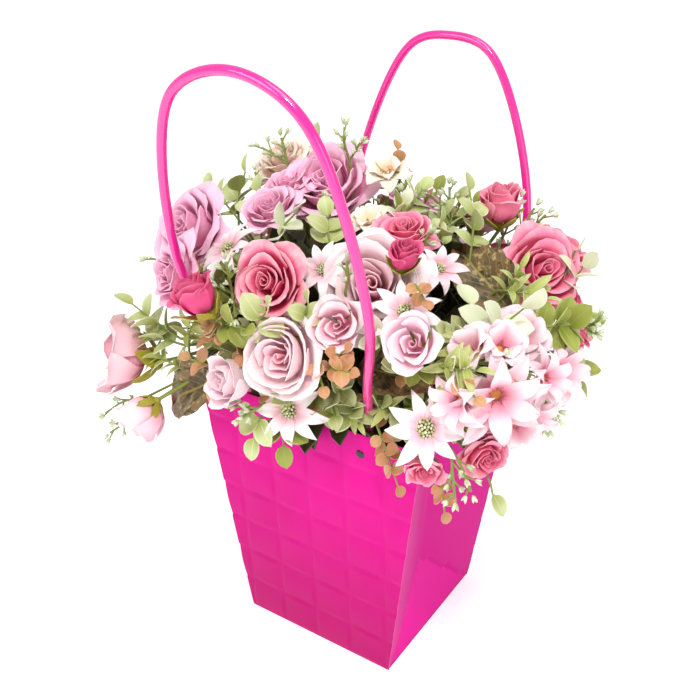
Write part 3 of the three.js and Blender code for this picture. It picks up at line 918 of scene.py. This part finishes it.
def wobble(piece, centre, radius, seed):
    # a slow seeded bend so that no two copies are alike
    points = readPoints(piece)
    local = (points - np.array(centre)) / radius
    # each way: axis, pace and seed share of a slow wave, and the same of a fast one
    waves = ((1, 2.3, 1, 2, 4.1, 2), (2, 2.7, 3, 0, 3.7, 1), (0, 2.1, 5, 1, 4.3, 1))
    shift = [np.sin(local[:, a] * slow + seed * b) + 0.5 * np.sin(local[:, c] * fast + seed * d)
             for a, slow, b, c, fast, d in waves]
    writePoints(piece, points + np.stack(shift, axis=1) * 0.05 * radius)


def headSlot(node):
    for word, slot in (("daisy", "petal_white"), ("blossom", "petal_white"), ("blush", "petal_blush"),
                       ("mauve", "petal_mauve"), ("peach", "petal_cream"), ("freesia", "petal_cream")):
        if word in node:
            return slot
    return "petal_pink"


# where each head sits on its wire
sockets = []


def makeFlower(kind, look, centre, radius, face, spin, seed, name):
    turned = Matrix.Translation(centre) @ facing(face, spin) @ Matrix.Scale(radius, 4)
    petals = copied(templates[kind], turned, "petals")
    setMaterials(petals, petalFinish[look])
    parts = [petals]
    if kind in ("daisy", "blossom", "freesia", "tulip"):
        disc, finish = 0.5, orangeFinish
        if kind == "daisy":
            disc, finish = 1.0, coreFinish
            beads = copied(templates["beads"], turned)
            setMaterials(beads, beadFinish)
            parts.append(beads)
        core = copied(templates["core"], turned @ Matrix.Scale(disc, 4))
        setMaterials(core, finish)
        parts.append(core)
    else:
        foot, scale = {"bud": (-0.72, 1.5), "angular": (-0.84, 1.0)}.get(kind, (-0.68, 1.0))
        seat = turned @ Matrix.Translation((0, 0, foot)) @ Matrix.Scale(scale, 4)
        calyx = copied(templates["calyx"], seat)
        setMaterials(calyx, calyxFinish)
        parts.append(calyx)
    for part in parts:
        wobble(part, centre, radius, seed)
    return joined(parts, name)


for node, (kind, look, face, spin, size) in heads.items():
    centre, radius, socket = headFrame(node, face)
    sockets.append(socket)
    head = makeFlower(kind, look, centre, radius * size, face, spin, sum(map(ord, node)) % 97, titled(node))
    place(head, headSlot(node), node)

# smaller heads that share a stem with a neighbour: node, template, look, centre, radius, facing, spin
for number, (node, kind, look, centre, radius, face, spin) in enumerate((
        ("blossom_right_high", "tulip", "blossom", (126, -62, 278), 15, (0.5, -0.5, 0.7), 0.9),
        ("blossom_right_front", "tulip", "blossom", (118, -68, 276), 16, (-0.2, -0.7, 0.7), 0.1),
        ("blossom_right_front", "blossom", "blossom", (117, -86, 255), 17, (-0.1, -0.95, 0.2), 0.2),
        ("blossom_right_outer", "blossom", "blossom", (146, -44, 258), 16, (0.8, -0.4, 0.4), 1.1),
        ("blossom_right_low", "blossom", "blossom", (140, -62, 236), 15, (0.6, -0.8, 0.0), 0.5),
        ("daisy_right", "daisy", "blossom", (70, -28, 301), 16, (0.55, -0.35, 0.55), 0.7),
        ("rose_mauve_middle", "full", "mauve", (-60, -2, 326), 15, (-0.1, -0.4, 0.9), 0.7),
        ("rose_peach_top", "open", "peach", (-64, 36, 330), 15, (0.2, -0.3, 0.9), 0.7),
        ("rose_salmon_far_right", "full", "rosePink", (112, 68, 292), 15, (0.4, 0.1, 0.9), 0.4),
        ("rose_mauve_back", "full", "mauve", (16, 68, 300), 17, (0.1, 0.5, 0.85), 0.3),
        ("rose_mauve_back", "daisy", "daisy", (-58, 92, 272), 17, (-0.3, 0.8, 0.5), 0.6),
        ("daisy_back", "bud", "rosePink", (2, 102, 246), 11, (0.0, 0.85, 0.5), 0.9),
        ("rose_blush_back", "full", "rosePink", (62, 98, 262), 17, (0.4, 0.8, 0.4), 0.2),
        ("rose_blush_back_left", "daisy", "daisy", (-126, 36, 258), 17, (-0.8, 0.4, 0.4), 0.5),
        ("rose_pink_back_left", "full", "mauve", (-84, 84, 244), 17, (-0.5, 0.75, 0.3), 0.8),
        ("rose_blush_back_left", "bud", "rosePink", (-130, -26, 242), 11, (-0.9, -0.1, 0.4), 1.1),
        ("daisy_back", "open", "peach", (-62, 100, 220), 16, (-0.3, 0.9, 0.1), 1.4),
        ("rose_salmon_far_right", "blossom", "blossom", (88, 96, 240), 15, (0.5, 0.8, 0.2), 1.7),
        ("rose_pink_outer", "daisy", "daisy", (126, 42, 234), 16, (0.9, 0.3, 0.2), 2.0),
        ("rose_blush_back", "closed", "blushPale", (46, 110, 222), 12, (0.3, 0.9, -0.2), 2.3),
        ("rose_peach_top", "open", "blush", (-44, 52, 318), 17, (-0.1, 0.3, 0.95), 2.6),
        ("bud_pink_tall", "full", "mauve", (52, 62, 304), 15, (0.1, 0.3, 0.95), 2.9))):
    name = f"second{number}Head"
    head = makeFlower(kind, look, Vector(centre) * mm, radius * mm, face, spin, number * 7.3, name)
    place(head, headSlot(node), node)
    sockets.append((Vector(centre) - Vector(face).normalized() * radius * 0.8) * mm)
print("flower heads made")

removed(*templates.values())


# leaf sprigs
def leafTemplate(name, width, fold, arch, blunt, cells=(5, 7), wave=0.0):
    # runs along +X for a length of one, with its upper side to +Z
    piece = addGrid(name, *cells)

    def shape(u, v):
        t = (v + 1) / 2
        half = width * np.clip(np.sin(np.pi * t ** blunt), 0, 1) ** 0.62 + 0.018 * (1 - t)
        z = fold * np.abs(u) ** 1.5 * half / width + arch * (t - t ** 2 * 1.35)
        z = z + wave * np.sin(t * 14) * np.abs(u) ** 2
        return t, -u * half, z

    shaped(piece, shape)
    mark(piece, "ring", 0.5)
    thicken(piece, 0.03)
    return piece


# each form: width, fold, arch, bluntness
leafForms = {
    "oval": leafTemplate("ovalLeaf", 0.37, 0.1, 0.12, 0.9),
    "round": leafTemplate("roundLeaf", 0.43, 0.12, 0.1, 0.95),
    "fern": leafTemplate("fernLeaf", 0.15, 0.08, 0.3, 0.8, cells=(3, 7)),
    "dark": leafTemplate("darkShadeLeaf", 0.3, 0.12, 0.2, 0.85, cells=(3, 4), wave=0.02),
}


def budTemplate():
    piece = added("berryBud", bpy.ops.mesh.primitive_ico_sphere_add, subdivisions=1, radius=1)
    points = readPoints(piece)
    taper = 1 - 0.35 * np.clip(points[:, 2:], 0, 1)
    points[:, :2] *= taper * 0.42
    points[:, 2] += 0.6
    writePoints(piece, points)
    smooth(piece, 180)
    mark(piece, "ring", 0.5)
    return piece


budForm = budTemplate()


def leafMaterial(name, base, tip, edge, underside, rough=0.42):
    shader = Shader(name)
    across, along = shader.uv()
    ring = shader.attribute("ring")
    colour = shader.mix(shader.step(along, 0.05, 0.8), rgb(base), rgb(tip))
    side = (across - 0.5).math("ABSOLUTE")
    rib = 1 - shader.step(side, 0.01, 0.05)
    colour = shader.mix(rib * 0.35, colour, rgb(edge))
    colour = shader.mix(shader.step(side, 0.36, 0.5) * 0.55, colour, rgb(edge))
    colour = shader.mix(ring * 0.6 + shader.noise(110, 3) * 0.35, colour, rgb(underside))
    slanted = shader.node("ShaderNodeCombineXYZ", None, {0: side * 0.6, 1: along - side * 0.5})
    ribs = shader.bands(slanted, 5.0, 0.6)
    normal = shader.bump(ribs * 0.5 + shader.noise(800, 2) * 0.4, 0.0002, 0.5)
    return shader.finish(colour, normal, Roughness=rough, Subsurface_Weight=0.1,
                         Subsurface_Radius=(0.002, 0.003, 0.001))


# base, tip, edge, underside
leafFinish = {
    "oval": leafMaterial("paleOvalLeaf", "A4AE56", "D4DBA6", "F4F5DE", "B4BE74"),
    "cream": leafMaterial("creamLeaf", "C9D29C", "F0F2DC", "FAFAEC", "DDE4BC"),
    "olive": leafMaterial("oliveLeaf", "808C2C", "B0B858", "D8DC98", "919A3E"),
    "fern": leafMaterial("fernLeaf", "A0AA46", "CFD694", "F0F2D4", "B4BC60"),
    "russet": leafMaterial("russetLeaf", "C0984A", "D8A27A", "EEC4A4", "C88A62", 0.35),
    # the dark leaf colour is partly real leaves and partly painted shade in the hollow of the crown
    "dark": leafMaterial("darkShadeLeaf", "24300F", "3C4A20", "5A642C", "4A3A20", 0.5),
}


def berryMaterial():
    shader = Shader("berryBud")
    colour = shader.mix(shader.attribute("ring"), rgb("A9BC83"), rgb("EEF0DC"))
    colour = shader.mix(shader.noise(380, 3) * 0.5, colour, rgb("C5CF9A"))
    return shader.finish(colour, shader.bump(shader.noise(900, 2), 0.0001, 0.4), Roughness=0.42)


stemFinish = plainFinish("greenStem", (60, 3), "64752A", "9BAA52", (400, 3, 0.0002, 0.5), Roughness=0.5)
berryFinish = berryMaterial()
corners = {(-1, -1): "stems_front_left", (1, -1): "stems_front_right",
           (-1, 1): "stems_back_left", (1, 1): "stems_back_right"}
hubSet = {"x": 0.026, "y": 0.024, "z": 0.131, "elbowX": 0.046, "elbowY": 0.058, "elbowZ": 0.228}
stalkSet = {"foot": 0.0725, "radius": 0.0034, "bore": 0.0039}
wireRadius = 0.0013
stemRuns = {corner: [] for corner in corners}
leafSpots = {}
budSpots = {corner: [] for corner in corners}
chance = random.Random(41)


def cornerOf(point):
    return (-1 if point[0] < 0 else 1, -1 if point[1] < 0 else 1)


def hubOf(corner):
    return Vector((corner[0] * hubSet["x"], corner[1] * hubSet["y"], hubSet["z"]))


def within(value, limit):
    return max(-limit, min(limit, value))


def feed(point, thick=wireRadius):
    # the wire from the hub of its corner, bent over inside the rim
    corner = cornerOf(point)
    hub = hubOf(corner)
    bend = Vector((within(point.x * 0.55, hubSet["elbowX"]), within(point.y * 0.55, hubSet["elbowY"]),
                   max(hubSet["elbowZ"], point.z * 0.78)))
    path = smoothPath([hub, (hub + bend) / 2 + Vector((0, 0, 0.008)), bend, point], 5)
    stemRuns[corner].append([(*p, thick / wireRadius) for p in path])


def orient(spot, direction, up, size):
    along = Vector(direction).normalized()
    side = Vector(up).cross(along)
    if side.length < 0.05:
        side = Vector((0.3, 1, 0.2)).cross(along)
    side.normalize()
    turn = Matrix((along, side, along.cross(side))).transposed().to_4x4()
    return Matrix.Translation(spot) @ turn @ Matrix.Scale(size, 4)


def addLeaf(form, finish, corner, matrix):
    leafSpots.setdefault((form, finish, corner), []).append(matrix)


def jitter(amount):
    return Vector([chance.uniform(-amount, amount) for _ in range(3)])


# along a sprig: where the leaves begin and end, its wire, its outward bow, leaf size against the last leaf
sprigSet = {"first": 0.25, "last": 0.92, "wire": 0.0009, "bow": 0.08, "grow": 1.15}


def leafSprig(base, tip, form, finish, leaf, pairs, opening=55, fed=True):
    base = Vector(base) * mm
    corner = cornerOf(base)
    run = Vector(tip) * mm - base
    ahead = run.normalized()
    outwards = Vector((base.x, base.y, 0.08)).normalized()
    bow = outwards * run.length * sprigSet["bow"]
    path = smoothPath([base, base + run * 0.5 + bow, base + run], 5)
    if fed:
        feed(base, 0.001)
    thick = sprigSet["wire"] / wireRadius
    stemRuns[corner].append([(*p, thick * (1 - 0.4 * k / len(path))) for k, p in enumerate(path)])
    flat = ahead.cross(outwards)
    if flat.length < 0.2:
        flat = ahead.cross(Vector((0.4, -0.6, 0.7)))
    flat.normalize()
    for k in range(pairs):
        share = sprigSet["first"] + (sprigSet["last"] - sprigSet["first"]) * k / pairs
        spot = path[min(len(path) - 1, int(share * (len(path) - 1)))]
        swell = sprigSet["grow"] * (0.82 + 0.3 * math.sin(share * 3.0))
        size = leaf * mm * swell * chance.uniform(0.85, 1.12)
        twist = Matrix.Rotation((k % 2) * 1.1 + chance.uniform(-0.3, 0.3), 3, ahead)
        for hand in (-1, 1):
            tilt = math.radians(opening + chance.uniform(-12, 12))
            direction = ahead * math.cos(tilt) + twist @ (flat * hand) * math.sin(tilt)
            up = (outwards + Vector((0, 0, 0.4)) + jitter(0.35)).normalized()
            addLeaf(form, finish, corner, orient(spot, direction, up, size))
    up = (outwards + Vector((0, 0, 0.3)) + jitter(0.3)).normalized()
    addLeaf(form, finish, corner, orient(path[-1], run + jitter(0.15) * run.length, up, leaf * mm))


def berrySprig(base, *tips, fed=True):
    bud = 2.9 * mm
    base = Vector(base) * mm
    corner = cornerOf(base)
    if fed:
        feed(base, 0.0009)
    for tip in tips:
        run = Vector(tip) * mm - base
        length = run.length
        path = smoothPath([base, base + run * 0.5 + jitter(0.06) * length, base + run], 4)
        stemRuns[corner].append([(*p, 0.62) for p in path])
        along = run.normalized()
        around = along.orthogonal().normalized()
        # each twig: share of the run, turn about it, opening
        twigs = [(1.0, 0, 0.0)] + [(0.9 - 0.16 * k, k * 2.4 + chance.uniform(0, 1), 0.75) for k in range(5)]
        for share, turn, opening in twigs:
            spot = path[int(share * (len(path) - 1))]
            side = Matrix.Rotation(turn, 3, along) @ around
            direction = (along * math.cos(opening) + side * math.sin(opening)).normalized()
            reach = min(0.008, 0.3 * length) * (0.4 if share == 1.0 else chance.uniform(0.7, 1.1))
            end = spot + direction * reach
            if share < 1.0:
                stemRuns[corner].append([(*spot, 0.5), (*end, 0.4)])
            for k in range(3):
                fan = Matrix.Rotation(k * 2.1 + turn, 3, direction) @ direction.orthogonal().normalized()
                aim = (direction + fan * 0.45).normalized()
                size = bud * chance.uniform(0.75, 1.15)
                budSpots[corner].append(Matrix.Translation(end) @ facing(aim) @ Matrix.Scale(size, 4))


# each sprig: base and tip in millimetres, finish, leaf length, pairs of leaves
for base, tip, finish, leaf, pairs in (
        ((-97, -80, 231), (-134, -85, 249), "oval", 15, 3),
        ((-93, -80, 227), (-127, -88, 230), "oval", 14, 3),
        ((-87, -20, 296), (-132, 0, 312), "oval", 13, 3),
        ((-63, -30, 293), (-77, -15, 320), "oval", 13, 2),
        ((-38, -45, 300), (-19, -50, 326), "cream", 14, 2),
        ((3, -45, 305), (-6, -35, 322), "oval", 14, 2),
        ((26, 0, 314), (30, 20, 331), "oval", 12, 2), ((30, -10, 315), (32, -5, 328), "cream", 11, 1),
        ((71, 10, 294), (56, 35, 331), "oval", 13, 3),
        ((-42, -95, 262), (-11, -112, 274), "olive", 13, 2),
        ((-45, -95, 258), (-55, -112, 267), "oval", 14, 1),
        ((-16, -95, 265), (3, -108, 288), "oval", 14, 2),
        ((15, -90, 272), (22, -95, 292), "oval", 12, 2),
        ((60, -78, 269), (61, -85, 282), "cream", 13, 1),
        ((75, -75, 268), (91, -85, 264), "olive", 12, 2),
        ((113, -45, 278), (96, -35, 287), "cream", 18, 1),
        ((113, -45, 278), (132, -45, 298), "cream", 18, 1),
        ((118, 50, 271), (131, 50, 290), "cream", 14, 2),
        ((115, 55, 276), (121, 60, 296), "cream", 12, 1),
        ((125, -20, 273), (152, 0, 276), "olive", 14, 4),
        ((4, -100, 211), (8, -105, 197), "olive", 15, 1),
        ((-8, -105, 213), (-9, -112, 200), "oval", 15, 1),
        ((130, -75, 207), (137, -78, 195), "oval", 14, 0),
        ((140, 0, 249), (149, 15, 228), "olive", 14, 2),
        ((137, 0, 253), (144, 5, 250), "oval", 12, 1), ((55, 0, 302), (54, 0, 318), "oval", 12, 2),
        ((68, -58, 262), (84, -72, 276), "olive", 13, 2),
        ((98, -48, 268), (97, -70, 284), "oval", 13, 2),
        ((76, -62, 252), (74, -84, 262), "oval", 13, 2),
        ((-100, -10, 290), (-104, 5, 325), "oval", 13, 3),
        ((-60, 30, 320), (-66, 40, 346), "oval", 12, 2)):
    leafSprig(base, tip, "oval", finish, leaf, pairs)

for base, tip, leaf, pairs in (
        ((101, -85, 271), (125, -85, 275), 13, 5), ((-86, -85, 211), (-117, -90, 219), 12, 5),
        ((-90, -80, 221), (-76, -85, 254), 12, 4), ((96, 0, 284), (126, 0, 285), 14, 5),
        ((98, 0, 278), (105, 10, 297), 12, 4), ((104, -60, 284), (106, -88, 262), 13, 5)):
    leafSprig(base, tip, "fern", "fern", leaf, pairs, opening=62)

for base, tip, pairs in (
        ((-55, -100, 253), (-35, -106, 273), 3), ((-38, -100, 261), (-50, -106, 252), 2),
        ((-41, -100, 231), (-65, -105, 236), 3), ((-43, -100, 234), (-48, -105, 217), 2),
        ((30, -100, 260), (39, -106, 249), 2), ((40, -100, 258), (55, -102, 261), 3),
        ((39, -98, 262), (49, -98, 271), 2), ((77, -70, 308), (87, -76, 303), 2),
        ((114, -88, 270), (128, -92, 263), 2), ((61, -82, 218), (79, -86, 183), 4),
        ((106, -84, 197), (111, -86, 177), 2), ((13, 20, 335), (5, 30, 351), 2),
        ((-30, -98, 250), (-12, -106, 252), 3), ((88, -60, 250), (98, -72, 258), 3),
        ((60, -60, 262), (70, -72, 250), 3)):
    leafSprig(base, tip, "round", "russet", 8, pairs, opening=70)

for base, *tips in (
        ((-111, -50, 274), (-150, -50, 268)), ((-117, -100, 188), (-150, -108, 169)),
        ((-123, -105, 177), (-143, -112, 157)),
        ((-35, -95, 285), (-36, -98, 306), (-52, -100, 290), (-24, -106, 276)),
        ((-82, -5, 311), (-91, 0, 328)), ((-70, 10, 334), (-75, 10, 352), (-94, 12, 342)),
        ((-26, 20, 342), (-30, 20, 363), (-19, 22, 354)), ((-18, -15, 315), (-24, -12, 325)),
        ((34, -75, 295), (35, -75, 314)), ((23, 10, 322), (17, 22, 337), (13, 15, 329)),
        ((47, 30, 308), (39, 40, 329), (30, 30, 325)), ((51, -25, 305), (58, -22, 319)),
        ((73, 40, 282), (80, 60, 322), (90, 62, 318)), ((81, 55, 297), (97, 65, 314), (96, 60, 304)),
        ((152, 0, 274), (161, 0, 281), (160, 0, 271)),
        ((131, -70, 261), (135, -72, 279), (141, -65, 271)),
        ((144, -30, 236), (149, -30, 219), (153, -28, 226)),
        ((116, -92, 226), (131, -95, 205), (123, -98, 199)),
        ((-7, -110, 221), (-18, -118, 223), (-13, -120, 216))):
    berrySprig(base, *tips)

# the crown that sprigs fill between the heads, and on the side away from the camera
crownSet = {"middle": Vector((-0.002, 0, 0.205)), "reach": Vector((0.128, 0.108, 0.122))}


def stepped(k, step=goldenStep):
    return (k * step) % 1.0


def crownRay(turn, height):
    flat = math.sqrt(1 - height * height)
    return Vector((flat * math.cos(turn), flat * math.sin(turn), height))


def crownSpot(ray, depth):
    return crownSet["middle"] + Vector(a * b * depth for a, b in zip(ray, crownSet["reach"]))


def fillSprig(k, start, end, style, leaf, pairs, berries):
    if berries:
        berrySprig(start / mm, end / mm, fed=False)
    else:
        form = {"fern": "fern", "russet": "round"}.get(style, "oval")
        leafSprig(start / mm, end / mm, form, style, leaf, pairs, fed=k % 3 == 0)


for k in range(150):
    ray = crownRay(k * goldenTurn, 0.02 + 0.96 * stepped(k))
    inner = 0.66 + 0.1 * chance.random()
    front = ray.y < 0.2 and ray.x > -0.9
    start = crownSpot(ray, inner)
    end = crownSpot(ray, inner + (0.2 if front else 0.28)) + jitter(0.012)
    # the printed leaf and the large rose on the right stay clear
    if 0.045 < end.x < 0.14 and -0.045 < end.y < 0.045 and end.z > 0.268:
        continue
    style = ("oval", "oval", "olive", "fern", "russet", "oval")[k % 6]
    leaf = {"fern": 11, "russet": 8}.get(style, 12.5)
    fillSprig(k, start, end, style, leaf, 2 if front else 3, k % 7 == 3 and not front)

# more sprigs low on the back and the left
for k in range(66):
    ray = crownRay(math.radians(15 + 215 * stepped(k)), -0.12 + 0.6 * stepped(k, secondStep))
    start = crownSpot(ray, 0.72)
    end = crownSpot(ray, 0.98) + jitter(0.012)
    start.z = max(start.z, 0.212)
    style = ("oval", "olive", "russet", "oval", "fern")[k % 5]
    fillSprig(k, start, end, style, {"fern": 12, "russet": 9}.get(style, 13.5), 3, k % 6 == 5)

# dark leaves deep in the crown, their very dark colour partly real leaves and partly painted shade inside
# the crown
for k in range(420):
    ray = crownRay(k * goldenTurn, -0.1 + 1.05 * stepped(k, secondStep))
    spot = crownSpot(ray, 0.42 + 0.3 * stepped(k, thirdStep))
    spot.x = within(spot.x, 0.060 + 0.02 * smoothstep(0.2, 0.235, spot.z))
    spot.y = within(spot.y, 0.066)
    direction = (ray + jitter(0.9)).normalized()
    leafPlace = orient(spot, direction, ray + jitter(0.5), chance.uniform(0.022, 0.034))
    addLeaf("dark", "dark", cornerOf(spot), leafPlace)


def scatter(form, spots, finish, name):
    copies = []
    for k, matrix in enumerate(spots):
        twin = copied(form, matrix)
        mark(twin, "ring", stepped(k))
        copies.append(twin)
    whole = joined(copies, name)
    setMaterials(whole, finish)
    fillSlot(whole, 0)
    return whole


cornerName = {corner: titled(node.removeprefix("stems_")) for corner, node in corners.items()}
for (form, finish, corner), spots in leafSpots.items():
    name = f"{finish}{form.capitalize()}Leaves{cornerName[corner]}"
    piece = scatter(leafForms[form], spots, leafFinish[finish], name)
    place(piece, "stem_plastic", corners[corner])
for corner, spots in budSpots.items():
    if spots:
        piece = scatter(budForm, spots, berryFinish, f"berryBuds{cornerName[corner]}")
        place(piece, "stem_plastic", corners[corner])
removed(*leafForms.values(), budForm)
print("sprigs made")

for socket in sockets:
    feed(socket)
for corner, node in corners.items():
    x, y, z = hubOf(corner)
    wires = tubes(f"{node}Wires", stemRuns[corner], wireRadius, 6)
    # the stalk swells into a knob where the wires branch off
    run = [(x, y, stalkSet["foot"], 0.9), (x, y, z - 0.006), (x, y, z, 1.45), (x, y, z + 0.005, 0.7)]
    stalk = tubes(f"{node}Stalk", [run], stalkSet["radius"], 14)
    whole = joined([wires, stalk], titled(node))
    smooth(whole, 60)
    setMaterials(whole, stemFinish)
    place(whole, "stem_plastic", node)
print("stems made")


# large printed leaves
def autumnMaterial():
    shader = Shader("printedLeaf")
    across, along = shader.uv()
    side = (across - 0.5).math("ABSOLUTE")
    spots = shader.noise(210, 5, roughness=0.65)
    blotch = shader.noise(45, 3)
    colour = shader.mix(shader.step(blotch, 0.35, 0.65), rgb("564730"), rgb("866B48"))
    colour = shader.mix(shader.step(spots, 0.52, 0.66), colour, rgb("C2A86A"))
    colour = shader.mix(shader.step(shader.noise(130, 4), 0.56, 0.62) * 0.8, colour, rgb("2E2C1B"))
    colour = shader.mix(shader.step(along + side * 0.5, 0.85, 1.2) * 0.75, colour, rgb("B2604A"))
    rib = 1 - shader.step(side, 0.008, 0.035)
    branch = shader.bands(shader.node("ShaderNodeCombineXYZ", None, {1: along - side * 0.9}), 2.6, 0.4)
    veins = (shader.step(branch, 0.93, 1.0) * 0.6 + rib).math("MINIMUM", 1.0)
    colour = shader.mix(veins * 0.8, colour, rgb("A99A45"))
    normal = shader.bump(veins * -0.7 + spots * 0.5, 0.0005, 0.6)
    return shader.finish(colour, normal, Roughness=0.5, Sheen_Weight=0.1)


# CAD node: foot, tip, upper side, width
autumnSet = {
    "leaf_autumn_right": ((104, 2, 272), (56, 17, 300), (0.35, -0.75, 0.55), 36),
    "leaf_autumn_middle": ((34, -58, 238), (88, -64, 243), (0.2, -0.7, 0.7), 30),
    "leaf_autumn_low_left": ((-54, -86, 216), (-110, -84, 178), (-0.2, -0.85, 0.5), 40),
    "leaf_autumn_back": ((70, 92, 225), (78, 122, 196), (0.1, 0.7, 0.7), 30),
}
printed = autumnMaterial()


def makeAutumnLeaf(node, foot, tip, up, width):
    foot = Vector(foot) * mm
    run = Vector(tip) * mm - foot
    length = run.length
    piece = addGrid(titled(node), 25, 35)

    def shape(u, v):
        t = (v + 1) / 2
        half = width * mm / 2 / length * np.clip(np.sin(np.pi * t ** 0.78), 0, 1) ** 0.75 + 0.01 * (1 - t)
        lobes = 1 + 0.09 * np.abs(np.sin(t * 15)) * smoothstep(0.1, 0.3, t) - 0.05
        bulge = 0.035 * np.abs(np.sin((t - np.abs(u) * 0.25) * 20)) * np.abs(u) * (1 - t)
        z = 0.1 * np.abs(u) ** 1.4 * half * 4 + 0.1 * np.sin(t * 3.1) + bulge + 0.02 * np.sin(t * 11 + u * 3)
        return t, -u * half * lobes, z - 0.06 * t

    shaped(piece, shape)
    piece.data.transform(orient(foot, run, up, length))
    thicken(piece, 0.0004)
    setMaterials(piece, printed)
    place(piece, "leaf_fabric", node)


for node, values in autumnSet.items():
    makeAutumnLeaf(node, *values)


def makeFoam():
    piece = addBlock("foamBlock", "floral_foam")
    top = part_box("floral_foam")[1].z
    applyModifier(piece, "BEVEL", width=0.002, segments=3)
    for corner in corners:
        x, y, z = hubOf(corner)
        cutter = added("cutter", bpy.ops.mesh.primitive_cylinder_add, vertices=24, radius=stalkSet["bore"],
                       depth=0.06, location=(x, y, top - 0.02))
        settle(cutter)
        applyModifier(piece, "BOOLEAN", object=cutter, operation="DIFFERENCE", solver="EXACT")
        removed(cutter)
    smooth(piece, 40)
    shader = Shader("foamGreen")
    pores = shader.noise(900, 3)
    colour = shader.mix(pores, rgb("2F5A36"), rgb("4C7D4C"))
    setMaterials(piece, shader.finish(colour, shader.bump(pores, 0.0006, 0.8), Roughness=0.95))
    place(piece, "foam", "floral_foam")


makeFoam()
print("printed leaves and foam made")
